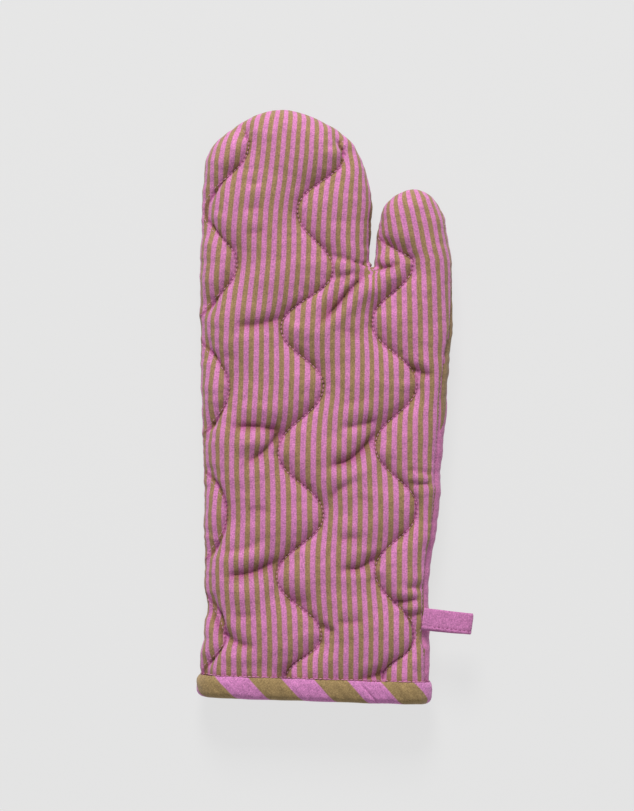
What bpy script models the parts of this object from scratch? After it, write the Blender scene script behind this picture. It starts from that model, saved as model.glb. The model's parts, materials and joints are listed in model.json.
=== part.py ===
"""Quilted oven mitt with a bias-bound cuff and a fabric hanging loop.

The mitt lies on its back. +Z is up, out of the striped front. +Y points to the
fingertips and +X to the thumb side. The origin is the middle of the underside
of the mitt's bounding box, hanging loop included. Units are metres.
"""
import math

import bmesh
import bpy
from mathutils import Vector

MM = 0.001

# Driving dimensions -------------------------------------------------------
MITT_THICKNESS = 30.0 * MM      # over both padded panels, lying loose
EDGE_RUN = 15.0 * MM            # how far in from the outline the padding rounds off
FINGERTIP_Y = 180.8 * MM
FINGER_LEFT_X = -80.6 * MM      # outer side of the hand
FINGER_RIGHT_X = 23.3 * MM      # finger side of the thumb slit
FINGER_DOME_Y = 121.0 * MM      # where the rounded fingertip starts
FINGER_ROUNDNESS = 2.35         # superellipse exponent of the fingertip
THUMB_TIP_Y = 132.5 * MM
THUMB_LEFT_X = 27.6 * MM
THUMB_RIGHT_X = 70.8 * MM
THUMB_DOME_Y = 100.0 * MM
THUMB_ROUNDNESS = 2.15
CROTCH_Y = 86.0 * MM            # bottom of the slit between finger and thumb
SLIT_RADIUS = 1.6 * MM          # round bottom of the slit
SLIT_DRIFT = 0.7 * MM           # the slit leans to the finger side as it goes down
CUFF_LEFT_X = -79.7 * MM
CUFF_RIGHT_X = 58.5 * MM
CUFF_END_Y = -180.8 * MM        # lowest edge of the binding

# How the sides swell between the cuff and the domes: offset from the size named, and Y (mm).
THUMB_SIDE_SWELL = [(-8.3, -70), (-4.3, -25), (0, 25), (2, 65)]     # from THUMB_RIGHT_X
FINGER_SIDE_SWELL = [(-0.4, 60), (0.3, 0)]                          # from FINGER_LEFT_X
CUFF_RIGHT_SWELL = (-0.2, -112)                                     # from CUFF_RIGHT_X
CUFF_LEFT_SWELL = (0.3, -80)                                        # from CUFF_LEFT_X

SHELL_THICKNESS = 1.0 * MM      # outer cotton
WADDING_THICKNESS = 4.5 * MM
LINING_THICKNESS = 0.6 * MM
CLEARANCE = 0.3 * MM            # between pieces that rest on each other

BINDING_HEIGHT = 13.3 * MM
BINDING_THICKNESS = 1.2 * MM    # folded bias tape
BINDING_SQUEEZE_RUN = 16.0 * MM  # length over which the padding thins to the binding
BINDING_SQUEEZE_LEAD = 2.0 * MM  # the padding is at its thinnest this far before the binding
BINDING_CHANNEL_RUN = 5.0 * MM  # how far the cutter for the binding's fold runs past its edge

SEAM_RISE_CENTRE = 1.1 * MM     # seam height above the middle, under the origin
SEAM_SLOPE_X = 0.076            # the mitt is rolled: the seam climbs to the thumb side
SEAM_SLOPE_Y = -0.035

THREAD_RADIUS = 0.2 * MM
THREAD_INSET = 0.22 * MM        # depth of a quilting thread's middle under the cloth
THREAD_EDGE = 1.5 * MM          # quilting stays this far inside the outline
THREAD_TURN_EDGE = 3.0 * MM     # and turns this far inside the outer side of the hand
THREAD_CUFF_GAP = 3.0 * MM      # between the ends of the quilting and the binding
SEAM_CUFF_GAP = 4.0 * MM        # between the ends of the side seam and the binding
CHANNEL_RADIUS = THREAD_RADIUS + CLEARANCE

LOOP_WIDTH = 12.9 * MM
LOOP_LENGTH = 26.3 * MM         # hinge line to the folded tip
LOOP_PLY = 1.4 * MM
LOOP_HEIGHT = 8.8 * MM          # over both plies at the open eye
LOOP_ROOT_HEIGHT = 3.4 * MM     # over both plies where they are sewn together
LOOP_ROOT_GAP = 0.68 * MM       # between the seam's stitches and the loop's root
LOOP_ABOVE_CUFF = 51.3 * MM     # middle of the loop, up from the cuff's end
LOOP_SWEEP = math.radians(-6.5)  # the loop points a little towards the cuff
LOOP_STITCH_EDGE = 2.2 * MM
LOOP_STITCH_START = 0.2         # share of the loop's length that its stitching leaves free
LOOP_EYE_START = 0.22           # share of the loop's length where its two plies part

EDGE_STEP = math.radians(35.0)
EDGE_ANGLES = [math.radians(angle) for angle in (-50, -15, 20, 55, 90)]
FACET = math.cos(EDGE_STEP / 2)
BINDING_STEPS = 6
FINGER_STEPS = 12
THUMB_STEPS = 8
SLIT_STEPS = 4
HALF_SPACE = 0.6
PANEL_CUT_GAP = 0.5 * MM

# Worked out from the driving dimensions ------------------------------------
HALF_THICKNESS = MITT_THICKNESS / 2
MIDDLE_Z = HALF_THICKNESS
SQUEEZE = CLEARANCE + BINDING_THICKNESS
WADDING_DEPTH = SHELL_THICKNESS + CLEARANCE
LINING_DEPTH = WADDING_DEPTH + WADDING_THICKNESS + CLEARANCE
BINDING_TOP_Y = CUFF_END_Y + BINDING_HEIGHT
PANEL_END_Y = CUFF_END_Y + BINDING_THICKNESS + CLEARANCE
PATTERN_END_Y = CUFF_END_Y - 1.5 * EDGE_RUN
STRAIGHT_Y = BINDING_TOP_Y + BINDING_SQUEEZE_RUN
SQUEEZE_Y = BINDING_TOP_Y + BINDING_SQUEEZE_LEAD
LOOP_Y = CUFF_END_Y + LOOP_ABOVE_CUFF

# Where each line of quilting turns, from the fingertips down (mm).
QUILT_TURNS = {
    "left": [(-54.7, 168), (-51.6, 159), (-78.8, 118), (-59, 86.7), (-82, 46.4), (-63.8, 10.9),
             (-82, -28), (-65.7, -65.4), (-79, -104), (-66.9, -141), (-76, -164)],
    "middle": [(5, 161), (6.8, 155), (-21.7, 118.5), (-0.6, 82.4), (-31.8, 48.8), (-6.4, 11.5),
               (-33.6, -26.3), (-6.4, -66), (-34.5, -102.7), (-7.6, -140), (-27, -164)],
    "thumb": [(31, 101), (48, 86.7), (23.5, 51.3), (50.4, 13.4), (25.4, -23.9), (50.8, -62.4),
              (25.4, -99), (50.4, -140.6), (32, -164)],
}
QUILT_STEPS = 4                 # points between two turns
ZIGZAG = 0.1                    # 0 is a plain wave, more is straighter between turns


def clear_scene():
    for item in list(bpy.data.objects):
        bpy.data.objects.remove(item, do_unlink=True)


def new_collection(name):
    collection = bpy.data.collections.new(name)
    bpy.context.scene.collection.children.link(collection)
    return collection


def fabric(name, colour, roughness):
    material = bpy.data.materials.new(name)
    material.use_nodes = True
    shader = material.node_tree.nodes["Principled BSDF"]
    shader.inputs["Base Color"].default_value = (*colour, 1.0)
    shader.inputs["Roughness"].default_value = roughness
    shader.inputs["Metallic"].default_value = 0.0
    return material


def add_object(name, mesh, collection, material=None):
    item = bpy.data.objects.new(name, mesh)
    collection.objects.link(item)
    if material:
        mesh.materials.append(material)
    return item


def hide_cutter(item):
    item.hide_render = True
    item.display_type = 'WIRE'
    return item


# The outline ---------------------------------------------------------------
def dome(left_x, right_x, base_y, tip_y, roundness, steps):
    """Points over a rounded end, from its thumb side to the other side."""
    middle = (left_x + right_x) / 2
    half_width = (right_x - left_x) / 2
    points = []
    for index in range(steps + 1):
        angle = math.pi * index / steps
        across = math.copysign(abs(math.cos(angle)) ** (2 / roundness), math.cos(angle))
        up = abs(math.sin(angle)) ** (2 / roundness)
        points.append(Vector((middle + half_width * across, base_y + (tip_y - base_y) * up)))
    return points


def swollen(side_x, swell):
    """Outline point of a side that swells by the given offset at the given Y."""
    offset, y = swell
    return Vector((side_x + offset * MM, y * MM))


def mitt_outline():
    """Outline of the mitt seen from above, counter-clockwise from the cuff."""
    right_side = [
        Vector((CUFF_RIGHT_X, PATTERN_END_Y)),
        Vector((CUFF_RIGHT_X, STRAIGHT_Y)),
        swollen(CUFF_RIGHT_X, CUFF_RIGHT_SWELL),
    ]
    right_side += [swollen(THUMB_RIGHT_X, swell) for swell in THUMB_SIDE_SWELL]
    slit_middle = (FINGER_RIGHT_X + THUMB_LEFT_X) / 2 - SLIT_DRIFT
    slit = []
    for index in range(SLIT_STEPS + 1):
        angle = -math.pi * index / SLIT_STEPS
        slit.append(Vector((slit_middle + SLIT_RADIUS * math.cos(angle),
                            CROTCH_Y + SLIT_RADIUS + SLIT_RADIUS * math.sin(angle))))
    left_side = [swollen(FINGER_LEFT_X, swell) for swell in FINGER_SIDE_SWELL]
    left_side += [
        swollen(CUFF_LEFT_X, CUFF_LEFT_SWELL),
        Vector((CUFF_LEFT_X, STRAIGHT_Y)),
        Vector((CUFF_LEFT_X, PATTERN_END_Y)),
    ]
    thumb = dome(THUMB_LEFT_X, THUMB_RIGHT_X, THUMB_DOME_Y, THUMB_TIP_Y,
                 THUMB_ROUNDNESS, THUMB_STEPS)
    finger = dome(FINGER_LEFT_X, FINGER_RIGHT_X, FINGER_DOME_Y, FINGERTIP_Y,
                  FINGER_ROUNDNESS, FINGER_STEPS)
    return right_side + thumb + slit + finger + left_side


def inward_mitres(points, closed=True):
    """For each point, the step that moves both its edges inwards by one unit."""
    count = len(points)
    mitres = []
    for index, point in enumerate(points):
        before = points[index - 1] if closed or index else None
        after = points[(index + 1) % count] if closed or index + 1 < count else None
        normals = []
        for start, end in ((before, point), (point, after)):
            if start is not None and end is not None:
                run = (end - start).normalized()
                normals.append(Vector((-run.y, run.x)))
        first, last = normals[0], normals[-1]
        mitres.append((first + last) / (1 + first.dot(last)))
    return mitres


def distance_inside(point, outline):
    """Distance from a point to the outline, with the closest outline point."""
    best = None
    for index, start in enumerate(outline):
        end = outline[(index + 1) % len(outline)]
        run = end - start
        share = min(1.0, max(0.0, (point - start).dot(run) / run.length_squared))
        closest = start + run * share
        gap = (point - closest).length
        if best is None or gap < best[0]:
            best = (gap, closest)
    return best


def seam_inset(rise):
    """How far inside the outline the rounded edge lies, at a height from the middle plane."""
    return EDGE_RUN * (1 - math.sqrt(1 - (rise / HALF_THICKNESS) ** 2))


def side_x(y, outline):
    """X of the outline's thumb side at the given Y."""
    crossings = []
    for index, start in enumerate(outline):
        end = outline[(index + 1) % len(outline)]
        if (start.y > y) != (end.y > y):
            crossings.append(start.x + (end.x - start.x) * (y - start.y) / (end.y - start.y))
    return max(crossings)


def is_inside(point, outline):
    """Whether a point lies inside the outline, from how often a ray to +X crosses it."""
    inside = False
    for index, start in enumerate(outline):
        end = outline[(index + 1) % len(outline)]
        if (start.y > point.y) != (end.y > point.y):
            crossing_x = start.x + (end.x - start.x) * (point.y - start.y) / (end.y - start.y)
            if point.x < crossing_x:
                inside = not inside
    return inside


def seam_rise(x, y):
    """Height of the side seam above the mitt's middle plane."""
    return SEAM_RISE_CENTRE + SEAM_SLOPE_X * x + SEAM_SLOPE_Y * y


# Padded panels --------------------------------------------------------------
def panel_sheet(name, depth, side):
    """Rounded sheet parallel to the mitt's outer surface, depth inside it."""
    outline = mitt_outline()
    mitres = inward_mitres(outline)
    run = EDGE_RUN - depth / FACET
    half_height = HALF_THICKNESS - depth / FACET
    bm = bmesh.new()
    rings = []
    for angle in EDGE_ANGLES:
        inset = EDGE_RUN - run * math.cos(angle)
        height = MIDDLE_Z + side * half_height * math.sin(angle)
        ring = []
        for point, mitre in zip(outline, mitres):
            spot = point + mitre * inset
            ring.append(bm.verts.new((spot.x, spot.y, height)))
        rings.append(ring)
    count = len(outline)
    for lower, upper in zip(rings, rings[1:]):
        for index in range(count):
            after = (index + 1) % count
            bm.faces.new((lower[index], lower[after], upper[after], upper[index]))
    bm.faces.new(rings[-1])
    if side < 0:
        bmesh.ops.reverse_faces(bm, faces=bm.faces)
    for cut_y in (STRAIGHT_Y - PANEL_CUT_GAP, SQUEEZE_Y - PANEL_CUT_GAP, PANEL_END_Y):
        everything = bm.verts[:] + bm.edges[:] + bm.faces[:]
        bmesh.ops.bisect_plane(bm, geom=everything, plane_co=(0, cut_y, 0), plane_no=(0, -1, 0),
                               clear_outer=cut_y == PANEL_END_Y)
    for vert in bm.verts:
        if vert.co.y < SQUEEZE_Y:
            vert.co.z -= SQUEEZE * (vert.co.z - MIDDLE_Z) / half_height
    mesh = bpy.data.meshes.new(name)
    bm.to_mesh(mesh)
    bm.free()
    return mesh


def half_space(name, side, collection):
    """Big block on the front (+1) or back (-1) side of the side seam."""
    normal = Vector((-SEAM_SLOPE_X, -SEAM_SLOPE_Y, 1)).normalized()
    bm = bmesh.new()
    bmesh.ops.create_cube(bm, size=HALF_SPACE)
    mesh = bpy.data.meshes.new(name)
    bm.to_mesh(mesh)
    bm.free()
    block = add_object(name, mesh, collection)
    block.rotation_mode = 'QUATERNION'
    block.rotation_quaternion = normal.to_track_quat('Z', 'Y')
    seam_middle = Vector((0, 0, MIDDLE_Z + SEAM_RISE_CENTRE))
    block.location = seam_middle + normal * side * (HALF_SPACE + CLEARANCE) / 2
    return hide_cutter(block)


def add_boolean(item, cutter, operation):
    modifier = item.modifiers.new(cutter.name, 'BOOLEAN')
    modifier.operation = operation
    modifier.solver = 'EXACT'
    modifier.object = cutter


def padded_layer(name, depth, thickness, side, half, collection, material):
    layer = add_object(name, panel_sheet(name, depth, side), collection, material)
    solidify = layer.modifiers.new("thickness", 'SOLIDIFY')
    solidify.thickness = thickness
    solidify.offset = -1
    solidify.use_even_offset = True
    add_boolean(layer, half, 'INTERSECT')
    return layer


# Threads --------------------------------------------------------------------
def tube(name, points, radius, collection, closed=False, material=None):
    """Closed four-sided tube along a list of points."""
    curve = bpy.data.curves.new(name, 'CURVE')
    curve.dimensions = '3D'
    spline = curve.splines.new('POLY')
    spline.points.add(len(points) - 1)
    for spot, point in zip(spline.points, points):
        spot.co = (*point, 1)
    spline.use_cyclic_u = closed
    curve.bevel_depth = radius
    curve.bevel_resolution = 0
    curve.use_fill_caps = not closed
    return curve_to_mesh(name, curve, collection, material)


def curve_to_mesh(name, curve, collection, material=None, rotation=None, location=None):
    """Mesh object with the curve's solid shape, its caps welded on."""
    guide = bpy.data.objects.new(name + "_guide", curve)
    collection.objects.link(guide)
    if rotation:
        guide.rotation_euler = rotation
    if location:
        guide.location = location
    bpy.context.view_layer.update()
    evaluated = guide.evaluated_get(bpy.context.evaluated_depsgraph_get())
    mesh = bpy.data.meshes.new_from_object(evaluated)
    mesh.name = name
    matrix = guide.matrix_world.copy()
    bpy.data.objects.remove(guide, do_unlink=True)
    bm = bmesh.new()
    bm.from_mesh(mesh)
    bmesh.ops.remove_doubles(bm, verts=bm.verts, dist=0.00001)
    bmesh.ops.recalc_face_normals(bm, faces=bm.faces)
    bm.to_mesh(mesh)
    bm.free()
    mesh.materials.clear()
    item = add_object(name, mesh, collection, material)
    item.matrix_world = matrix
    return item


def quilt_route(turns):
    """Zigzag line of quilting seen from above, as far as it runs inside the mitt."""
    outline = mitt_outline()
    zigzag = []
    for (start_x, start_y), (end_x, end_y) in zip(turns, turns[1:]):
        for step in range(QUILT_STEPS):
            share = step / QUILT_STEPS
            wave = math.cos(math.pi * share) + ZIGZAG * math.cos(3 * math.pi * share)
            swing = 0.5 - 0.5 * wave / (1 + ZIGZAG)
            x = start_x + (end_x - start_x) * swing
            y = start_y + (end_y - start_y) * share
            zigzag.append(Vector((x, y)) * MM)
    zigzag.append(Vector(turns[-1]) * MM)
    runs = [[]]
    for spot in zigzag:
        spot.x = max(spot.x, FINGER_LEFT_X + THREAD_TURN_EDGE)
        edge_gap = distance_inside(spot, outline)[0]
        above_cuff = spot.y - BINDING_TOP_Y
        if is_inside(spot, outline) and edge_gap > THREAD_EDGE and above_cuff > THREAD_CUFF_GAP:
            runs[-1].append(spot)
        else:
            runs.append([])
    return max(runs, key=len)


def on_cloth(route, side):
    """Places the points of a line of quilting just under the cloth's outer surface."""
    outline = mitt_outline()
    points = []
    for spot in route:
        inside, closest = distance_inside(spot, outline)
        lean = 1 - min(inside, EDGE_RUN) / EDGE_RUN
        level = math.sqrt(1 - lean ** 2)
        flat = spot - (closest - spot).normalized() * lean * THREAD_INSET
        rise = level * (HALF_THICKNESS - THREAD_INSET)
        points.append(Vector((flat.x, flat.y, MIDDLE_Z + side * rise)))
    return points


def seam_route():
    """Points just outside the side seam, from the cuff round to the cuff."""
    outline = mitt_outline()
    mitres = inward_mitres(outline)
    outside = THREAD_RADIUS + CLEARANCE
    points = []
    lowest = BINDING_TOP_Y + SEAM_CUFF_GAP
    for point, mitre in zip(outline, mitres):
        spot = Vector((point.x, max(point.y, lowest)))
        rise = seam_rise(spot.x, spot.y)
        flat = spot + mitre * (seam_inset(rise) - outside)
        points.append(Vector((flat.x, max(flat.y, lowest), MIDDLE_Z + rise)))
    return points


# Cuff binding ----------------------------------------------------------------
def cuff_contour(growth, outside):
    """Round-ended contour of the cuff as seen from its open end, grown outwards."""
    half_step = math.pi / BINDING_STEPS / 2
    left_centre = CUFF_LEFT_X + EDGE_RUN
    right_centre = CUFF_RIGHT_X - EDGE_RUN
    points = []
    for centre, direction in ((left_centre, -1), (right_centre, 1)):
        for index in range(BINDING_STEPS + 1):
            angle = direction * (math.pi / 2 - math.pi * index / BINDING_STEPS)
            at_flat = index in (0, BINDING_STEPS)
            facet = 1 if at_flat or not outside else math.cos(half_step)
            across = centre + direction * (EDGE_RUN + growth) / facet * math.cos(angle)
            up = ((HALF_THICKNESS + growth) / facet - SQUEEZE) * math.sin(angle)
            points.append(Vector((across, MIDDLE_Z + up)))
    return points


def cuff_ring(name, outer, inner, low_y, high_y, collection, material=None):
    """Ring between two cuff contours, grown by outer and inner, from low_y up to high_y."""
    curve = bpy.data.curves.new(name, 'CURVE')
    curve.dimensions = '2D'
    curve.fill_mode = 'BOTH'
    curve.extrude = (high_y - low_y) / 2
    for growth, outside in ((outer, True), (inner, False)):
        contour = cuff_contour(growth, outside)
        spline = curve.splines.new('POLY')
        spline.points.add(len(contour) - 1)
        for spot, point in zip(spline.points, contour):
            spot.co = (point.x, point.y, 0, 1)
        spline.use_cyclic_u = True
    return curve_to_mesh(name, curve, collection, material,
                         rotation=(math.pi / 2, 0, 0), location=(0, (low_y + high_y) / 2, 0))


def make_binding(parts, cutters, material):
    outer_face = CLEARANCE + BINDING_THICKNESS
    lining_face = EDGE_RUN * FACET - LINING_DEPTH - LINING_THICKNESS
    inner_face = lining_face - CLEARANCE - EDGE_RUN
    binding = cuff_ring("cuff_binding", outer_face, inner_face - BINDING_THICKNESS,
                        CUFF_END_Y, BINDING_TOP_Y, parts, material)
    channel = cuff_ring("binding_channel", CLEARANCE, inner_face,
                        CUFF_END_Y + BINDING_THICKNESS, BINDING_TOP_Y + BINDING_CHANNEL_RUN,
                        cutters)
    hide_cutter(channel)
    add_boolean(binding, channel, 'DIFFERENCE')
    return binding


def binding_stitch_route():
    """Ring of topstitching round the cuff, along the binding's edge."""
    outside = CLEARANCE + THREAD_RADIUS
    y = BINDING_TOP_Y + outside
    return [Vector((point.x, y, point.y)) for point in cuff_contour(outside, True)]


# Hanging loop ----------------------------------------------------------------
def loop_hinge():
    """Point on the side seam that the hanging loop turns about."""
    outline = mitt_outline()
    outer_x = max(side_x(LOOP_Y + end * LOOP_WIDTH / 2, outline) for end in (-1, 1))
    rise = seam_rise(outer_x, LOOP_Y)
    seam_bead = CLEARANCE + 2 * THREAD_RADIUS
    reach = seam_bead + LOOP_ROOT_GAP + LOOP_ROOT_HEIGHT / 2
    return Vector((outer_x - seam_inset(rise) + reach, LOOP_Y, MIDDLE_Z + rise))


def smooth_ring(points, steps):
    """Closed Catmull-Rom curve through the points."""
    count = len(points)
    result = []
    for index in range(count):
        p0, p1, p2, p3 = (points[(index + offset) % count] for offset in (-1, 0, 1, 2))
        for step in range(steps):
            t = step / steps
            result.append(0.5 * (2 * p1 + (p2 - p0) * t + (2 * p0 - 5 * p1 + 4 * p2 - p3) * t ** 2
                                 + (3 * p1 - p0 - 3 * p2 + p3) * t ** 3))
    return result


def loop_contour(inset):
    """Side view of the folded strip, moved inwards from its outer face."""
    root = LOOP_ROOT_HEIGHT / 2
    half = LOOP_HEIGHT / 2
    shape = [
        Vector((-root, 0)),
        Vector((0, -root)),
        Vector((0.34 * LOOP_LENGTH, -0.88 * half)),
        Vector((0.70 * LOOP_LENGTH, -half)),
        Vector((0.94 * LOOP_LENGTH, -0.62 * half)),
        Vector((LOOP_LENGTH, 0)),
        Vector((0.94 * LOOP_LENGTH, 0.62 * half)),
        Vector((0.70 * LOOP_LENGTH, half)),
        Vector((0.34 * LOOP_LENGTH, 0.88 * half)),
        Vector((0, root)),
    ]
    ring = smooth_ring(shape, 3)
    mitres = inward_mitres(ring)
    return [point + mitre * inset for point, mitre in zip(ring, mitres)]


def loop_eye():
    """Side view of the open eye between the two plies."""
    start = LOOP_EYE_START * LOOP_LENGTH
    return [point for point in loop_contour(LOOP_PLY) if point.x > start]


def make_loop(parts, material):
    hinge = loop_hinge()
    curve = bpy.data.curves.new("hanging_loop", 'CURVE')
    curve.dimensions = '2D'
    curve.fill_mode = 'BOTH'
    curve.extrude = LOOP_WIDTH / 2
    for contour in (loop_contour(0), loop_eye()):
        spline = curve.splines.new('POLY')
        spline.points.add(len(contour) - 1)
        for spot, point in zip(spline.points, contour):
            spot.co = (point.x, point.y, 0, 1)
        spline.use_cyclic_u = True
    loop = curve_to_mesh("hanging_loop", curve, parts, material, rotation=(math.pi / 2, 0, 0))
    loop.data.transform(loop.matrix_world)
    loop.matrix_world.identity()
    loop.rotation_euler = (0, 0, LOOP_SWEEP)
    loop.location = hinge
    return loop


def make_loop_stitches(parts, material):
    """Edge stitching over the loop, clear of its root."""
    outside = -(THREAD_RADIUS + CLEARANCE)
    y = -LOOP_WIDTH / 2 + LOOP_STITCH_EDGE
    start = LOOP_STITCH_START * LOOP_LENGTH
    route = [Vector((point.x, y, point.y)) for point in loop_contour(outside) if point.x > start]
    stitches = tube("loop_stitch_thread", route, THREAD_RADIUS, parts, material=material)
    stitches.rotation_euler = (0, 0, LOOP_SWEEP)
    stitches.location = loop_hinge()
    return stitches


def main():
    clear_scene()
    parts = new_collection("oven_mitt")
    cutters = new_collection("cutters")
    stripe = fabric("striped_cotton", (0.58, 0.26, 0.40), 0.9)
    wide_stripe = fabric("wide_stripe_cotton", (0.50, 0.22, 0.30), 0.9)
    wadding = fabric("wadding", (0.86, 0.84, 0.78), 1.0)
    lining = fabric("lining_cotton", (0.80, 0.76, 0.68), 0.9)
    loop_cloth = fabric("loop_cotton", (0.56, 0.20, 0.42), 0.9)
    thread = fabric("sewing_thread", (0.72, 0.36, 0.58), 0.7)

    for side_name, side, cloth in (("front", 1, stripe), ("back", -1, wide_stripe)):
        half = half_space(side_name + "_half", side, cutters)
        shell = padded_layer(side_name + "_shell", 0, SHELL_THICKNESS, side, half, parts, cloth)
        padded_layer(side_name + "_wadding", WADDING_DEPTH, WADDING_THICKNESS, side, half,
                     parts, wadding)
        padded_layer(side_name + "_lining", LINING_DEPTH, LINING_THICKNESS, side, half,
                     parts, lining)
        for line_name, turns in QUILT_TURNS.items():
            route = on_cloth(quilt_route(turns), side)
            name = f"{side_name}_quilting_thread_{line_name}"
            tube(name, route, THREAD_RADIUS, parts, material=thread)
            channel = tube(name + "_channel", route, CHANNEL_RADIUS, cutters)
            add_boolean(shell, hide_cutter(channel), 'DIFFERENCE')

    tube("side_seam_thread", seam_route(), THREAD_RADIUS, parts, material=thread)
    make_binding(parts, cutters, wide_stripe)
    tube("binding_stitch_thread", binding_stitch_route(), THREAD_RADIUS, parts, closed=True,
         material=thread)
    make_loop(parts, loop_cloth)
    make_loop_stitches(parts, thread)


main()
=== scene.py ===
import json
import math
import random

import bmesh
import bpy
import numpy as np
from mathutils import Matrix, Vector, noise
from mathutils.bvhtree import BVHTree

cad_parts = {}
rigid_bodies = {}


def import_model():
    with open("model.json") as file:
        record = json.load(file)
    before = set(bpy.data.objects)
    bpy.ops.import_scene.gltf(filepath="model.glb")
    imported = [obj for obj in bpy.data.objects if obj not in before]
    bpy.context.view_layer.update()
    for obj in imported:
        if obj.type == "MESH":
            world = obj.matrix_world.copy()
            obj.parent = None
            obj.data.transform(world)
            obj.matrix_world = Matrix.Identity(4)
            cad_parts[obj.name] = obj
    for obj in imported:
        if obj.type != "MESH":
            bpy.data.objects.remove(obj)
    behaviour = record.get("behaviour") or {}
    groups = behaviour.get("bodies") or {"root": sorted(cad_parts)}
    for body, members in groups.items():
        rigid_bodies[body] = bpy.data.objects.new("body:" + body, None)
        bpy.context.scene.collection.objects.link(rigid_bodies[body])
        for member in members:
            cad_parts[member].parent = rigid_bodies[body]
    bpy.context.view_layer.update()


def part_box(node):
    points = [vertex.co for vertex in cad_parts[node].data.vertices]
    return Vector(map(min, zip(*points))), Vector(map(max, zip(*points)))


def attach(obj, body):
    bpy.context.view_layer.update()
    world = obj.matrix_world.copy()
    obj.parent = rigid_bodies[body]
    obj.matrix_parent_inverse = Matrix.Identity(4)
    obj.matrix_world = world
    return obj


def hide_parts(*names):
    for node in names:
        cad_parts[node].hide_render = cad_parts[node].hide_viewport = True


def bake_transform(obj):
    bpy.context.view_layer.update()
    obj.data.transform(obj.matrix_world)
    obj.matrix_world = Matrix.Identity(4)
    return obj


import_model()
mm = 0.001
random.seed(7)

# the mitt's own measures, all in the frame's metres
shellLow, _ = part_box("back_shell")
_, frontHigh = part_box("front_shell")
bindingLow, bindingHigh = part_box("cuff_binding")

mitt = {
    "middleZ": (shellLow[2] + frontHigh[2]) / 2,
    "halfThick": (frontHigh[2] - shellLow[2]) / 2,
    "edgeRun": 15 * mm,         # how far the rounded edge reaches in
    "cell": 2.5 * mm,           # voxel size of the padded body
    "bindingTop": bindingHigh[1],
    "squeeze": 1.6 * mm,        # how much flatter the panels are under the binding
    "cuffEnd": bindingLow[1],
    "cuffTilt": -0.0325,        # the cuff's end isn't square to the mitt
    "cuffLevel": 26.8 * mm,      # the X where it lies as the CAD's does
    "slitX": 23.8 * mm,
    "slitOpening": 8 * mm,      # how far the slit is held open while the body is remeshed
    "slitRun": (82.4 * mm, 91 * mm),    # from its bottom to where it is fully open
}

# height of the side seam above the middle plane, mm: at the thumb side for each Y, and elsewhere
seam = {
    "thumbSide": [(-190, 6), (-166, 7.5), (-143, 10.3), (-119, 9.6), (-92, 8.4), (-57, 9.1),
                  (-33, 9.2), (-9, 10.3), (16, 9.9), (40, 7.2), (75, 1.5), (100, -2), (135, -3)],
    "handSide": -4,
    "lobeRise": 7,              # the back shows along the finger's edge beside the slit
    "lobeAt": (22, 112),
    "lobeSpread": (11, 24),
    "valleyDepth": 1.5 * mm,
    "valleyWidth": 1.5 * mm,
}

# outline of the padded body, counter-clockwise from the cuff's thumb side, mm
outlinePoints = [
    (58.2, -197), (58.2, -180), (58.3, -168), (59.1, -153), (58.6, -136), (57.8, -122),
    (59, -98), (62.1, -81), (64.5, -56), (66.2, -30), (67.3, -19.5), (69.3, -8),
    (70.3, 20), (72.6, 48), (72.4, 76), (70.6, 99), (67.5, 116), (60, 128),
    (48, 132.5), (37, 128.2), (29.6, 118.5), (26.6, 103), (25.8, 96.5), (24.8, 88),
    (24.1, 84.2), (23.1, 84), (22.3, 88), (22.2, 97), (23.5, 117), (21.5, 138),
    (13.4, 157.4), (5.6, 166), (-3.7, 172.4), (-18, 178.3), (-33, 180.8), (-49, 177),
    (-63.8, 167.5), (-73.6, 158), (-78.8, 145), (-80.3, 122), (-81, 89), (-81.6, 45),
    (-80.3, 3), (-79.6, -38), (-78.9, -76), (-78.7, -108), (-77.2, -124), (-79, -139),
    (-81.2, -149.5), (-81.6, -159), (-80.6, -168), (-80, -180), (-80, -197),
]

# where each line of quilting turns, from the fingertips down, mm
quiltTurns = {
    "left": [(-54.7, 168), (-51.4, 159), (-79.2, 118), (-58.6, 86.5), (-83, 47), (-63.4, 10.9),
             (-82.5, -28), (-65.3, -65.4), (-80.5, -104), (-66.6, -141), (-80.6, -164)],
    "middle": [(5, 162), (8.4, 155.1), (-22, 118.5), (-0.4, 82.4), (-32, 47.5), (-6.2, 12),
               (-33.8, -28), (-6.2, -66.3), (-34.7, -103.5), (-7.4, -140), (-29, -166)],
    "thumb": [(27.3, 102.9), (48.2, 86.4), (23.4, 50.6), (50.6, 13.2), (25.3, -24.2),
              (51, -63), (25.2, -100), (50.6, -140.6), (30, -166)],
}
# a zigzag over 0 makes the turns sharper than a wave's, and under 0 rounder
quiltCurve = {"steps": 22, "zigzag": -0.03}


def smoothLoop(points, spacing, closed=True):
    # a Catmull-Rom curve through the points, then evened out to one spacing
    count = len(points)
    fine = []
    for index in range(count if closed else count - 1):
        if closed:
            p = [Vector(points[(index + k) % count]) for k in (-1, 0, 1, 2)]
        else:
            p = [Vector(points[min(max(index + k, 0), count - 1)]) for k in (-1, 0, 1, 2)]
        for step in range(12):
            t = step / 12
            fine.append(0.5 * (2 * p[1] + (p[2] - p[0]) * t
                               + (2 * p[0] - 5 * p[1] + 4 * p[2] - p[3]) * t * t
                               + (3 * p[1] - p[0] - 3 * p[2] + p[3]) * t ** 3))
    if not closed:
        fine.append(Vector(points[-1]))
    return evenPath(fine, spacing, closed)


def evenPath(fine, spacing, closed=False):
    ring = fine + [fine[0]] if closed else fine
    lengths = [0.0]
    for a, b in zip(ring, ring[1:]):
        lengths.append(lengths[-1] + (b - a).length)
    total = lengths[-1]
    count = max(2, round(total / spacing))
    stops = np.linspace(0, total, count + 1)
    values = np.array([list(p) for p in ring])
    even = np.stack([np.interp(stops, lengths, values[:, k]) for k in range(values.shape[1])], 1)
    if closed:
        even = even[:-1]
    return even


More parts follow.
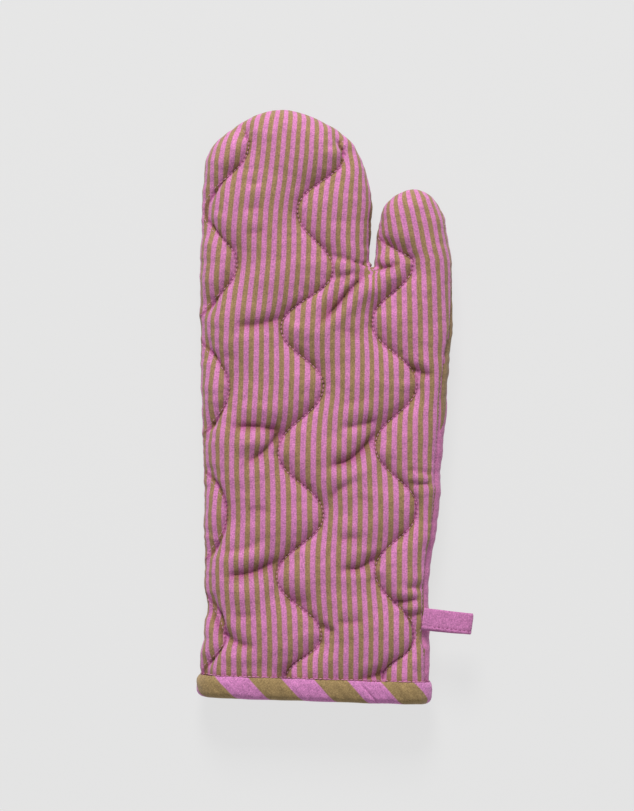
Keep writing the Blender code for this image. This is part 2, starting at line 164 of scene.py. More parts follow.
def quiltPath(turns):
    points = []
    for (startX, startY), (endX, endY) in zip(turns, turns[1:]):
        for step in range(quiltCurve["steps"]):
            share = step / quiltCurve["steps"]
            wave = math.cos(math.pi * share) + quiltCurve["zigzag"] * math.cos(3 * math.pi * share)
            swing = 0.5 - 0.5 * wave / (1 + quiltCurve["zigzag"])
            points.append(Vector((startX + (endX - startX) * swing,
                                  startY + (endY - startY) * share)) * mm)
    points.append(Vector(turns[-1]) * mm)
    return evenPath(points, 1 * mm)


def nearestOnPath(points, path, closed=False):
    # for each 2D point: distance, closest spot, the path's normal there, side and way along
    starts = path if closed else path[:-1]
    ends = np.roll(path, -1, axis=0) if closed else path[1:]
    run = ends - starts
    lengthSq = (run ** 2).sum(1)
    distance = np.full(len(points), 1e9)
    closest = np.zeros((len(points), 2))
    normal = np.zeros((len(points), 2))
    along = np.zeros(len(points))
    reach = np.concatenate([[0], np.cumsum(np.sqrt(lengthSq))[:-1]])
    for i in range(len(starts)):
        t = np.clip(((points - starts[i]) @ run[i]) / lengthSq[i], 0, 1)
        spot = starts[i] + t[:, None] * run[i]
        gap = np.sqrt(((points - spot) ** 2).sum(1))
        better = gap < distance
        distance[better] = gap[better]
        closest[better] = spot[better]
        normal[better] = np.array([-run[i][1], run[i][0]]) / math.sqrt(lengthSq[i])
        along[better] = reach[i] + t[better] * math.sqrt(lengthSq[i])
    side = np.sign(((points - closest) * normal).sum(1))
    return distance, closest, normal, side, along


def smoothStep(value, low, high):
    t = np.clip((value - low) / (high - low), 0, 1)
    return t * t * (3 - 2 * t)


outline = smoothLoop([Vector(p) * mm for p in outlinePoints], 1.5 * mm)
quiltPaths = {name: quiltPath(turns) for name, turns in quiltTurns.items()}


def seamHeight(x, y):
    spotX, spotY = x / mm, y / mm
    stops = np.array(seam["thumbSide"], float)
    thumbRise = np.interp(spotY, stops[:, 0], stops[:, 1])
    share = np.clip((spotX + 80) / 145, 0, 1)
    rise = seam["handSide"] + (thumbRise - seam["handSide"]) * share
    lobe = (((spotX - seam["lobeAt"][0]) / seam["lobeSpread"][0]) ** 2
            + ((spotY - seam["lobeAt"][1]) / seam["lobeSpread"][1]) ** 2)
    besideSlit = smoothStep(25.5 - spotX, 0, 1.5)
    return mitt["middleZ"] + (rise + seam["lobeRise"] * np.exp(-lobe) * besideSlit) * mm



def newPiece(name, data):
    piece = bpy.data.objects.new(name, data)
    bpy.context.scene.collection.objects.link(piece)
    return piece


def lengthAlong(path):
    # how far along the path each of its points lies
    return np.concatenate([[0], np.cumsum(np.linalg.norm(np.diff(path, axis=0), axis=1))])


def activate(item):
    bpy.ops.object.select_all(action='DESELECT')
    item.select_set(True)
    bpy.context.view_layer.objects.active = item


def applyModifier(item, modifier):
    activate(item)
    bpy.ops.object.modifier_apply(modifier=modifier.name)


def readPoints(mesh):
    flat = np.empty(len(mesh.vertices) * 3)
    mesh.vertices.foreach_get("co", flat)
    return flat.reshape(-1, 3)


def writePoints(mesh, points):
    mesh.vertices.foreach_set("co", points.astype(np.float64).ravel())
    mesh.update()


def readNormals(mesh):
    flat = np.empty(len(mesh.vertices) * 3)
    mesh.vertices.foreach_get("normal", flat)
    return flat.reshape(-1, 3)


# the padded body: a slab is remeshed, rounded at its edge, quilted and inflated
pad = {
    "grooveDepth": 4.8 * mm,    # how far a line of quilting is pulled in
    "grooveRun": 11 * mm,
    "holdReach": 1.4 * mm,      # cloth this close to a seam is held still
    "spareAcross": 0.012,       # spare cloth, as a share of the width and the length
    "spareAlong": 0.030,
    "pressure": 300,
    "weight": 0.01,
    "frames": 22,
    "mostMove": 4.5 * mm,
    "floorGap": 0.3 * mm,
}


def slitShift(x, y):
    # the slit is held open while the slab is remeshed, so that its sides don't merge
    return np.where(x > mitt["slitX"], mitt["slitOpening"] * smoothStep(y, *mitt["slitRun"]), 0)


def paddedSlab():
    curve = bpy.data.curves.new("paddedBody", 'CURVE')
    curve.dimensions = '2D'
    curve.fill_mode = 'BOTH'
    curve.extrude = mitt["halfThick"]
    spline = curve.splines.new('POLY')
    spline.points.add(len(outline) - 1)
    opened = outline[:, 0] + slitShift(outline[:, 0], outline[:, 1])
    for spot, x, y in zip(spline.points, opened, outline[:, 1]):
        spot.co = (x, y, 0, 1)
    spline.use_cyclic_u = True
    guide = newPiece("paddedBody", curve)
    guide.location.z = mitt["middleZ"]
    activate(guide)
    bpy.ops.object.convert(target='MESH')
    bpy.ops.object.transform_apply(location=True, rotation=False, scale=False)
    slab = bpy.context.view_layer.objects.active
    bpy.ops.object.mode_set(mode='EDIT')
    bpy.ops.mesh.select_all(action='SELECT')
    bpy.ops.mesh.remove_doubles(threshold=0.01 * mm)
    bpy.ops.mesh.normals_make_consistent(inside=False)
    bpy.ops.object.mode_set(mode='OBJECT')
    remesh = slab.modifiers.new("even", 'REMESH')
    remesh.mode = 'VOXEL'
    remesh.voxel_size = mitt["cell"]
    applyModifier(slab, remesh)
    points = readPoints(slab.data)
    opening = mitt["slitOpening"] * smoothStep(points[:, 1], *mitt["slitRun"])
    points[:, 0] -= np.where(points[:, 0] > mitt["slitX"] + opening / 2, opening, 0)
    writePoints(slab.data, points)
    return slab


def roundEdges(points):
    # turns the slab's wall and rim into one rounded edge
    plan = points[:, :2]
    distance, closest, normal, side, _ = nearestOnPath(plan, outline, closed=True)
    clear = distance > 0.7 * mm
    depth = np.where(clear | (side > 0), distance, 0)
    rise = (points[:, 2] - mitt["middleZ"]) / mitt["halfThick"]
    run = mitt["edgeRun"]
    wall = 0.93
    onWall = (np.abs(rise) < wall) & (depth < 2 * mm)
    wallAngle = np.clip(rise / wall, -1, 1) * math.pi / 4
    flatAngle = np.sign(rise) * (1 + np.clip(depth / run, 0, 1)) * math.pi / 4
    angle = np.where(onWall, wallAngle, flatAngle)
    inset = run * (1 - np.cos(angle))
    away = (plan - closest) / np.maximum(distance, 1e-6)[:, None]
    direction = np.where(clear[:, None], away, normal)
    atEdge = depth < run
    moved = closest + direction * np.where(atEdge, inset, distance)[:, None]
    result = points.copy()
    result[:, :2] = np.where(atEdge[:, None], moved, plan)
    result[:, 2] = mitt["middleZ"] + mitt["halfThick"] * np.sin(angle)
    return result, inset, direction, angle, atEdge


def cuffTilt(x):
    # how far the binding lies above its mean line at each side of the cuff
    return mitt["cuffTilt"] * (x - mitt["cuffLevel"])


def atCuff(y):
    # how much the panels are pressed together towards the binding, from 0 to 1
    return smoothStep(-y, -mitt["bindingTop"] - 16 * mm, -mitt["bindingTop"] - 1 * mm)


def quiltGap(plan):
    # distance of each point from the closest line of quilting, and how far along that line
    gap, way = np.full(len(plan), 1.0), np.zeros(len(plan))
    for path in quiltPaths.values():
        distance, _, _, _, along = nearestOnPath(plan, path)
        way = np.where(distance < gap, along, way)
        gap = np.minimum(gap, distance)
    return gap, way


stripeBow = {
    "bend": 0.00024,            # the finger's stripes bow towards the thumb at both ends
    "bendMiddle": -75,
    "fingerShare": 0.8,         # how much of the bow is left beside the thumb
    "lean": 0.0015,             # the thumb's stripes lean to the fingers above this Y
    "leanFrom": 45,
    "meetX": 24.5,
    "meetY": 86,
    "backBow": 6.5,
    "backMiddle": -34,
    "backSpread": 34,
    "pull": 0.11,               # how far the stripes follow the swing of the quilting
    "pullReach": 15,
}


def quiltPull(x, y):
    # how far the quilting has drawn the stripes to one side, all in mm
    pull = np.zeros(len(x))
    for name, turns in quiltTurns.items():
        line = quiltPaths[name][::-1] / mm
        stops = np.array(turns[::-1], float)
        middles = (stops[1:] + stops[:-1]) / 2
        lineX = np.interp(y, line[:, 1], line[:, 0])
        swing = lineX - np.interp(y, middles[:, 1], middles[:, 0])
        pull += swing * np.exp(-np.abs(x - lineX) / stripeBow["pullReach"])
    return stripeBow["pull"] * pull


def stripeShift(x, y):
    # how far the stripes have moved across the mitt from straight lines, all in mm
    width = 2 + np.clip(0.5 * (stripeBow["meetY"] - y), 0, 45)
    onThumb = smoothStep(x, stripeBow["meetX"] - width / 2, stripeBow["meetX"] + width / 2)
    share = stripeBow["fingerShare"]
    share = (share + (1 - share) * smoothStep(-x, -5, 40)) * (1 - onThumb)
    bow = stripeBow["bend"] * (y - stripeBow["bendMiddle"]) ** 2 * share
    lean = stripeBow["lean"] * np.maximum(y - stripeBow["leanFrom"], 0) ** 2 * onThumb
    return bow - lean + quiltPull(x, y)


def backStripeShift(x, y):
    # the back's wide stripes bow out a little beside the palm
    bow = np.exp(-((y - stripeBow["backMiddle"]) / stripeBow["backSpread"]) ** 2)
    return stripeBow["backBow"] * bow * smoothStep(x, 10, 60)


def clothMap(points, inset, direction, angle, atEdge):
    # where each point lies on the flat cloth, from the arc that the rounded edge takes up
    run = mitt["edgeRun"]
    front = points[:, 2] > seamHeight(points[:, 0], points[:, 1])
    turn = np.where(atEdge, math.pi / 2 - np.where(front, angle, -angle), 0)
    extra = run * (turn - np.sin(turn))
    across = points[:, 0] - direction[:, 0] * np.where(atEdge, extra, 0)
    spots = points / mm
    across -= np.where(front, stripeShift(spots[:, 0], spots[:, 1]),
                       backStripeShift(spots[:, 0], spots[:, 1])) * mm
    along = points[:, 1] - direction[:, 1] * np.where(atEdge, extra, 0)
    return across, along


body = paddedSlab()
flatPoints = readPoints(body.data)
smoothPoints, inset, direction, angle, atEdge = roundEdges(flatPoints)
smoothPoints[:, 2] -= ((smoothPoints[:, 2] - mitt["middleZ"]) / mitt["halfThick"]
                       * atCuff(smoothPoints[:, 1]) * mitt["squeeze"])
writePoints(body.data, smoothPoints)
smoothNormals = readNormals(body.data)
across, along = clothMap(smoothPoints, inset, direction, angle, atEdge)
print("padded body:", len(smoothPoints), "points")


def store(mesh, name, values):
    values = np.asarray(values, dtype=np.float32)
    if values.ndim == 2:
        layer = mesh.attributes.new(name, 'FLOAT_VECTOR', 'POINT')
        layer.data.foreach_set("vector", values.ravel())
    else:
        layer = mesh.attributes.new(name, 'FLOAT', 'POINT')
        layer.data.foreach_set("value", values)


def fetch(mesh, name):
    layer = mesh.attributes[name]
    if layer.data_type == 'FLOAT_VECTOR':
        values = np.empty(len(mesh.vertices) * 3, dtype=np.float32)
        layer.data.foreach_get("vector", values)
        return values.reshape(-1, 3).astype(float)
    values = np.empty(len(mesh.vertices), dtype=np.float32)
    layer.data.foreach_get("value", values)
    return values.astype(float)


store(body.data, "across", across)
store(body.data, "along", along)
store(body.data, "smooth", smoothPoints)
store(body.data, "smoothNormal", smoothNormals)


def quiltDrop(gap):
    share = np.clip(1 - gap / pad["grooveRun"], 0, 1)
    return pad["grooveDepth"] * share ** 2


gap = quiltGap(smoothPoints[:, :2])[0]
faceShare = smoothStep(np.abs(smoothNormals[:, 2]), 0.15, 0.85)
quilted = smoothPoints - smoothNormals * (quiltDrop(gap) * faceShare)[:, None]
writePoints(body.data, quilted)


def puff(item):
    # spare cloth and pressure make the padding swell between the lines of quilting
    start = readPoints(item.data)
    seamGap = np.abs(start[:, 2] - seamHeight(start[:, 0], start[:, 1]))
    onEdge = np.abs(smoothNormals[:, 2]) < 0.85
    held = (gap < pad["holdReach"]) | (onEdge & (seamGap < pad["holdReach"]))
    held |= start[:, 1] < mitt["bindingTop"] + 3 * mm
    group = item.vertex_groups.new(name="held")
    group.add([int(i) for i in np.flatnonzero(held)], 1.0, 'REPLACE')
    item.shape_key_add(name="lying")
    cut = item.shape_key_add(name="cut")
    spare = start * np.array([1 + pad["spareAcross"], 1 + pad["spareAlong"], 1])
    cut.data.foreach_set("co", spare.ravel())
    cloth = item.modifiers.new("cotton", 'CLOTH')
    settings = cloth.settings
    settings.quality = 6
    settings.mass = pad["weight"]
    settings.vertex_group_mass = "held"
    settings.rest_shape_key = cut
    settings.use_pressure = True
    settings.uniform_pressure_force = pad["pressure"]
    settings.tension_stiffness = 20
    settings.compression_stiffness = 20
    settings.shear_stiffness = 8
    settings.bending_stiffness = 0.1
    settings.tension_damping = 1
    settings.compression_damping = 1
    settings.shear_damping = 1
    settings.effector_weights.gravity = 0
    cloth.collision_settings.use_collision = False
    scene = bpy.context.scene
    for frameNumber in range(1, pad["frames"] + 1):
        scene.frame_set(frameNumber)
    view = item.evaluated_get(bpy.context.evaluated_depsgraph_get())
    moved = readPoints(view.to_mesh())
    view.to_mesh_clear()
    item.modifiers.remove(cloth)
    item.shape_key_clear()
    scene.frame_set(1)
    step = moved - start
    length = np.linalg.norm(step, axis=1)
    limit = np.minimum(1, pad["mostMove"] / np.maximum(length, 1e-9))
    return start + step * limit[:, None], length


puffed, moveLength = puff(body)
print("cloth moved", round(float(moveLength.mean() / mm), 2), "mm on average,",
      round(float(moveLength.max() / mm), 2), "mm at most")
puffed[:, 2] = np.maximum(puffed[:, 2], pad["floorGap"])
writePoints(body.data, puffed)

# what shapes the outer cloth itself: crisp lines of quilting, small wrinkles, the side seam's puckers
stitchValley = {"depth": 1.5 * mm, "width": 1.0 * mm, "pitch": 2.7 * mm, "pucker": 0.15}
smallWrinkles = {
    "height": 0.34 * mm,        # shallow wrinkles across the stripes
    "crumple": 0.16 * mm,
    "swell": 0.9 * mm,
    "seamHeight": 0.40 * mm,    # puckers along the side seam
    "seamReach": 9 * mm,
    "wideSize": (15, 5.2, 30),  # each wrinkle's size along X, Y and Z, mm
    "closeSize": (9, 2.6, 30),
    "puckerSize": (22, 3.6, 24),
    "crumpleSize": (4.2, 3.4, 20),
    "swellSize": (26, 13, 40),
}
refine = {"quiltReach": 1.6 * mm, "creaseDepth": 2.2 * mm}
creaseShare = {
    "depth": 1.6,
    "width": 1.65,
    "lip": 0.30,                # how proud a crease's lips stand, as a share of its depth
    # painted shade: how deep a crease is when its painted shade is darkest, and how strong the painted
    # shade beside the binding is and how far it reaches
    "darkAt": 2.5 * mm,         # a crease this deep is darkest
    "tuckShade": 1.0,
    "tuckReach": 1.3 * mm,
}

# creases in the front: points in mm, depth and width in mm, deepest at the share given
frontCreases = [
    ([(-60.4, 48.8), (-46, 49.5), (-30.9, 52.8)], 1.5, 3.0, 0.5),
    ([(-63.2, -12.3), (-47, -12.6), (-30.9, -15.3)], 2.2, 3.0, 0.6),
    ([(-31, -15.5), (-42, -27), (-54.7, -36.1)], 1.8, 2.8, 0.3),
    ([(-70.6, -88), (-57, -87), (-41.2, -81.9)], 0.9, 2.6, 0.5),
    ([(-65.7, -102.7), (-50, -101), (-32.7, -93.5)], 1.9, 3.2, 0.45),
    ([(-77.3, -118), (-72, -131), (-66, -139.5), (-56, -144.6), (-47, -146.3)], 1.5, 2.2, 0.6),
    ([(21.5, 85.5), (11, 88), (-0.9, 91.5)], 1.6, 2.2, 0.15),
    ([(20.5, 80.0), (8.2, 80), (-2, 75.7)], 1.4, 2.2, 0.15),
    ([(19, 79.5), (6, 66), (-8.2, 49.4)], 2.6, 2.2, 0.3),
    ([(14, 84), (4, 74), (-4, 60), (-9, 50)], 1.2, 2.4, 0.4),
    ([(25.4, 84.0), (33, 84.6), (41.2, 87.3)], 1.7, 2.0, 0.3),
    ([(46.7, 23.2), (53, 20), (60.2, 18.9)], 1.4, 1.8, 0.4),
    ([(4.6, -12.9), (15, -12), (26.6, -8.6)], 1.3, 2.6, 0.6),
    ([(26.6, -15.9), (18, -26), (8, -33.5), (-4.6, -36.7)], 2.2, 3.0, 0.45),
    ([(44.3, -38.6), (52, -39.6), (60.2, -41.6)], 1.0, 1.8, 0.5),
    ([(44.9, -45.9), (52, -47.5), (60.2, -47.1)], 1.0, 1.8, 0.5),
    ([(-2.7, -56.9), (3.4, -50.2), (14, -45.5)], 1.1, 2.6, 0.3),
    ([(2.7, -81.9), (9, -80.2), (16.8, -80.7)], 0.9, 2.6, 0.5),
    ([(26.6, -91.7), (15.6, -98.4), (3.4, -99)], 1.6, 2.2, 0.3),
    ([(43.1, -111.3), (48, -110.2), (55, -110.7)], 1.1, 1.6, 0.6),
    ([(35.1, -118.6), (43, -118.6), (52.6, -116.8)], 1.5, 1.7, 0.5),
    ([(43, -124.5), (48, -127), (55, -125.4)], 0.9, 1.7, 0.5),
    ([(1.5, -131.4), (10, -131.4), (19.2, -129.6)], 0.9, 2.2, 0.4),
    ([(-8.2, -132.6), (-4, -135.5), (0.9, -137.5)], 1.2, 1.6, 0.4),
    ([(32.1, -161.4), (24, -164.6), (14, -166.4)], 1.2, 2.0, 0.4),
    ([(-53, 135.4), (-44, 134.6)], 0.5, 1.8, 0.5),
    ([(-55, 119.7), (-42, 119.5)], 0.7, 3.2, 0.5),
    ([(-54, 104), (-40, 106)], 0.5, 3.4, 0.5),
    ([(-68, 30), (-58, 28.5)], 0.5, 2.6, 0.5),
    ([(2, 46), (18, 44)], 0.6, 3.2, 0.5),
    ([(4, 2), (22, 4)], 0.5, 3.0, 0.5),
    ([(-52, -62), (-38, -64)], 0.6, 3.0, 0.5),
    ([(12, -55), (24, -58)], 0.5, 3.0, 0.5),
    ([(-30, -118), (-14, -120)], 0.5, 2.6, 0.5),
    ([(-62, -128), (-48, -127)], 0.6, 2.8, 0.5),
]
backCreases = [
    ([(58, -12), (44, -15), (30, -13)], 1.5, 2.4, 0.3),
    ([(58, -57), (46, -60), (38, -66)], 1.4, 2.2, 0.3),
    ([(58, -86), (47, -85), (36, -90)], 1.4, 2.2, 0.3),
    ([(22, 84), (8, 70), (-6, 52)], 2.2, 2.4, 0.3),
    ([(25, 84), (34, 86), (43, 91)], 1.4, 2.0, 0.3),
    ([(-66, 60), (-50, 57), (-36, 60)], 1.2, 2.8, 0.5),
    ([(-62, -8), (-48, -12), (-34, -10)], 1.6, 3.0, 0.5),
    ([(-20, 20), (-6, 24), (8, 21)], 0.9, 2.8, 0.5),
    ([(-64, -96), (-50, -99), (-36, -95)], 1.4, 3.0, 0.5),
    ([(0, -118), (14, -121), (26, -118)], 1.2, 2.6, 0.5),
    ([(40, 30), (52, 27), (62, 29)], 1.0, 2.0, 0.6),
]


def subdivided(item, name):
    copy = item.copy()
    copy.data = item.data.copy()
    copy.name = name
    bpy.context.scene.collection.objects.link(copy)
    finer = copy.modifiers.new("finer", 'SUBSURF')
    finer.levels = 1
    finer.render_levels = 1
    applyModifier(copy, finer)
    return copy


def refineFolds(item):
    # finer faces where the cloth turns sharply: at the quilting and in the deep creases
    smooth = fetch(item.data, "smooth")
    plan = smooth[:, :2]
    front = smooth[:, 2] > seamHeight(smooth[:, 0], smooth[:, 1])
    depth = np.where(front, creaseStep(plan, frontCreases), creaseStep(plan, backCreases))
    sharp = (quiltGap(plan)[0] < refine["quiltReach"]) | (depth > refine["creaseDepth"])
    shape = bmesh.new()
    shape.from_mesh(item.data)
    edges = [edge for edge in shape.edges if sharp[edge.verts[0].index] and sharp[edge.verts[1].index]]
    bmesh.ops.subdivide_edges(shape, edges=edges, cuts=1, use_grid_fill=True)
    shape.to_mesh(item.data)
    shape.free()


def creaseStep(plan, creases, spread=1.0):
    # how far each point is pushed in by the creases; their lips stand a little proud
    step = np.zeros(len(plan))
    for spots, depth, width, deepest in creases:
        width *= spread * creaseShare["width"]
        path = smoothLoop([Vector(p) * mm for p in spots], 1 * mm, closed=False)
        low, high = path.min(0) - 4 * width * mm, path.max(0) + 4 * width * mm
        near = np.flatnonzero(((plan > low) & (plan < high)).all(1))
        distance, _, _, side, way = nearestOnPath(plan[near], path)
        total = np.linalg.norm(np.diff(path, axis=0), axis=1).sum()
        share = np.clip(way / total, 0, 1)
        taper = np.where(share < deepest, share / deepest, (1 - share) / (1 - deepest))
        taper = smoothStep(taper, -0.15, 0.5)
        off = distance / (width * mm)
        push = np.exp(-1.9 * off) - creaseShare["lip"] * np.exp(-(off - 2.0) ** 2)
        step[near] += depth * creaseShare["depth"] * mm * taper * push
    return step


def clothNoise(spot, size, away=0.0):
    return noise.noise((spot[0] / size[0], spot[1] / size[1], spot[2] / size[2] + away))


def wrinkleStep(points, gap, edge):
    # small wrinkles across the stripes, from the cloth being gathered by its seams
    step = np.zeros(len(points))
    nearQuilt = np.exp(-gap / (9 * mm))
    nearSeam = np.exp(-edge / smallWrinkles["seamReach"])
    for i, spot in enumerate(points / mm):
        wide = (clothNoise(spot, smallWrinkles["wideSize"])
                + 0.5 * clothNoise(spot, smallWrinkles["closeSize"], 7))
        pucker = clothNoise(spot, smallWrinkles["puckerSize"], 31)
        crumple = clothNoise(spot, smallWrinkles["crumpleSize"], 53)
        swell = clothNoise(spot, smallWrinkles["swellSize"], 11)
        step[i] = (smallWrinkles["height"] * wide * (0.45 + nearQuilt[i])
                   + smallWrinkles["crumple"] * crumple + smallWrinkles["swell"] * swell
                   + smallWrinkles["seamHeight"] * pucker * nearSeam[i])
    return step


def fineForm(item):
    # everything that shapes the outer cloth beyond the padding itself, and the attributes that place its
    # painted shade
    points = readPoints(item.data)
    smooth = fetch(item.data, "smooth")
    normals = readNormals(item.data)
    plan = smooth[:, :2]
    gap, way = quiltGap(plan)
    edge = nearestOnPath(plan, outline, closed=True)[0]
    pull = 1 + stitchValley["pucker"] * np.cos(2 * math.pi * way / stitchValley["pitch"])
    step = stitchValley["depth"] * pull * np.exp(-gap / stitchValley["width"])
    step *= smoothStep(edge, 1 * mm, 6 * mm)
    seamGap = smooth[:, 2] - seamHeight(smooth[:, 0], smooth[:, 1])
    onEdge = edge < mitt["edgeRun"] * 0.8
    step += onEdge * seam["valleyDepth"] * np.exp(-(seamGap / seam["valleyWidth"]) ** 2)
    front = smooth[:, 2] > seamHeight(smooth[:, 0], smooth[:, 1])
    creased = np.where(front, creaseStep(plan, frontCreases), creaseStep(plan, backCreases))
    step += creased + wrinkleStep(smooth, gap, edge)
    points -= normals * step[:, None]
    points[:, 2] = np.maximum(points[:, 2], pad["floorGap"])
    writePoints(item.data, points)
    # stitchGap and stitchWay place the painted shade along the lines of quilting; foldShade is painted
    # shade in the deep creases and where the front tucks over the binding
    store(item.data, "stitchGap", gap)
    store(item.data, "stitchWay", way)
    fromBinding = smooth[:, 1] - mitt["bindingTop"] - cuffTilt(smooth[:, 0])
    tuck = creaseShare["tuckShade"] * np.exp(-np.maximum(fromBinding, 0) / creaseShare["tuckReach"])
    store(item.data, "foldShade", np.clip(np.maximum(creased / creaseShare["darkAt"], tuck), 0, 1))


fineBody = subdivided(body, "fineBody")
refineFolds(fineBody)
fineForm(fineBody)
print("fine form:", len(fineBody.data.vertices), "points")


# each panel is outer cotton, wadding and lining
layers = {
    "crotch": (23.6 * mm, 84 * mm),
    "clipped": 6 * mm,          # how far the wadding and lining are clipped back from it
    "shell": 0.55 * mm,
    "shellGap": 0.02 * mm,      # from the side seam to each layer's edge
    "paddingGap": 1.8 * mm,
    "ease": 0.25 * mm,          # air between two layers
    "slack": 0.8 * mm,          # room for the outer cloth's own wrinkles
    "padding": 4.6 * mm,
    "pinched": 0.7 * mm,        # what is left of the padding under a line of quilting
    "lining": 0.5 * mm,
    "endY": mitt["cuffEnd"] + 5.5 * mm,
    "sink": 1.6,                # the wadding is sunk this many times as deep as the cloth's folds
    "foldSpread": 1.3,
    "stitchSpread": 4,
    "seamSpread": 4 * mm,
}


def panelPatch(item, name, side, gap):
    # the part of the padded body on one side of the side seam, open at the cuff
    patch = item.copy()
    patch.data = item.data.copy()
    patch.name = name
    bpy.context.scene.collection.objects.link(patch)
    points = readPoints(patch.data)
    points[:, 2] -= seamHeight(points[:, 0], points[:, 1])
    writePoints(patch.data, points)
    activate(patch)
    bpy.ops.object.mode_set(mode='EDIT')
    for spot, way in (((0, 0, side * gap), (0, 0, side)),
                      ((0, layers["endY"], 0), (0, 1, 0))):
        bpy.ops.mesh.select_all(action='SELECT')
        bpy.ops.mesh.bisect(plane_co=spot, plane_no=way, clear_inner=True, threshold=0.01 * mm)
    bpy.ops.object.mode_set(mode='OBJECT')
    points = readPoints(patch.data)
    points[:, 2] += seamHeight(points[:, 0], points[:, 1])
    writePoints(patch.data, points)
    return patch


def trimCrotch(patch):
    # the wadding and lining are clipped back where the thumb meets the fingers
    plan = fetch(patch.data, "smooth")[:, :2]
    close = np.linalg.norm(plan - layers["crotch"], axis=1) < layers["clipped"]
    shape = bmesh.new()
    shape.from_mesh(patch.data)
    spots = [spot for spot in shape.verts if close[spot.index]]
    bmesh.ops.delete(shape, geom=spots, context='VERTS')
    shape.to_mesh(patch.data)
    shape.free()


def layerBetween(name, patch, outer, inner, material, node):
    # closed layer of cloth or wadding between two sets of points over one patch
    mesh = patch.data
    count = len(mesh.vertices)
    loops = np.empty(len(mesh.loops), dtype=int)
    mesh.loops.foreach_get("vertex_index", loops)
    starts = np.empty(len(mesh.polygons), dtype=int)
    mesh.polygons.foreach_get("loop_start", starts)
    faces = [list(face) for face in np.split(loops, starts[1:])]
    edges = {}
    for face in faces:
        for a, b in zip(face, face[1:] + face[:1]):
            edges[(a, b)] = True
    walls = [[b, a, a + count, b + count] for a, b in edges if (b, a) not in edges]
    below = [[i + count for i in reversed(face)] for face in faces]
    layer = bpy.data.meshes.new(name)
    layer.from_pydata(np.vstack([outer, inner]).tolist(), [], faces + below + walls)
    layer.validate()
    cloth = np.stack([fetch(mesh, "across"), fetch(mesh, "along")], 1)
    cloth = np.vstack([cloth, cloth])
    corner = np.empty(len(layer.loops), dtype=int)
    layer.loops.foreach_get("vertex_index", corner)
    layer.uv_layers.new(name="cloth").data.foreach_set("uv", cloth[corner].ravel())
    # these attributes carry the painted shade of the quilting and the folds
    for lineName in ("stitchGap", "stitchWay", "foldShade"):
        if lineName in mesh.attributes:
            line = fetch(mesh, lineName)
            store(layer, lineName, np.concatenate([line, line]))
    piece = newPiece(name, layer)
    activate(piece)
    bpy.ops.object.shade_smooth_by_angle(angle=math.radians(60))
    layer.materials.append(material)
    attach(piece, "mitt")
    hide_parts(node)
    return piece


cottonColours = {
    "pink": (0.600, 0.205, 0.440),
    "olive": (0.308, 0.197, 0.093),
    # the back's stripes are a little darker than the front's, partly painted shade for the back, which lies
    # turned away from the light
    "backPink": (0.560, 0.185, 0.385),
    "backOlive": (0.270, 0.180, 0.090),
    "bindingPink": (0.590, 0.215, 0.475),
    "bindingOlive": (0.320, 0.220, 0.095),
    "loopPink": (0.560, 0.195, 0.430),
    "lining": (0.640, 0.580, 0.480),
    "wadding": (0.780, 0.750, 0.680),
    "quiltThread": (0.670, 0.290, 0.460),
    "seamThread": (0.640, 0.290, 0.450),
    "edgeThread": (0.330, 0.090, 0.230),
}


class Nodes:
    # short hand for building one material's node tree
    def __init__(self, name):
        self.material = bpy.data.materials.new(name)
        self.material.use_nodes = True
        self.tree = self.material.node_tree
        self.shader = self.tree.nodes["Principled BSDF"]

    def add(self, kind, values=None, **settings):
        node = self.tree.nodes.new(kind)
        for key, value in settings.items():
            setattr(node, key, value)
        for key, value in (values or {}).items():
            if isinstance(value, bpy.types.NodeSocket):
                self.tree.links.new(value, node.inputs[key])
            else:
                node.inputs[key].default_value = value
        return node

    def math(self, operation, a, b=0.0, c=0.0):
        return self.add('ShaderNodeMath', {0: a, 1: b, 2: c}, operation=operation).outputs[0]

    def noise(self, vector, scale, detail=2.0, rough=0.5):
        node = self.add('ShaderNodeTexNoise', {"Vector": vector, "Scale": scale, "Detail": detail,
                                               "Roughness": rough})
        return node.outputs["Fac"]

    def link(self, output, socket):
        self.tree.links.new(output, self.shader.inputs[socket])

    def dye(self, colour, value):
        # the colour is made lighter or darker from place to place
        bright = self.add('ShaderNodeVectorMath', {0: colour}, operation='SCALE')
        self.tree.links.new(value, bright.inputs["Scale"])
        self.link(bright.outputs[0], "Base Color")

    def bump(self, height, strength, distance):
        node = self.add('ShaderNodeBump', {"Height": height, "Strength": strength, "Distance": distance})
        self.link(node.outputs[0], "Normal")

    def surface(self, roughness, sheen, tint):
        self.shader.inputs["Roughness"].default_value = roughness
        self.shader.inputs["Specular IOR Level"].default_value = 0.25
        self.shader.inputs["Sheen Weight"].default_value = sheen
        self.shader.inputs["Sheen Roughness"].default_value = 0.5
        self.shader.inputs["Sheen Tint"].default_value = (*tint, 1)


weave = {
    "yarn": 0.55 * mm,          # from one yarn to the next
    "bump": 0.07 * mm,
    "slub": 0.70,               # how much single yarns differ in brightness
    "grain": 1.6,               # and how much the fibres and the dye do
    "mottle": 0.50,
}


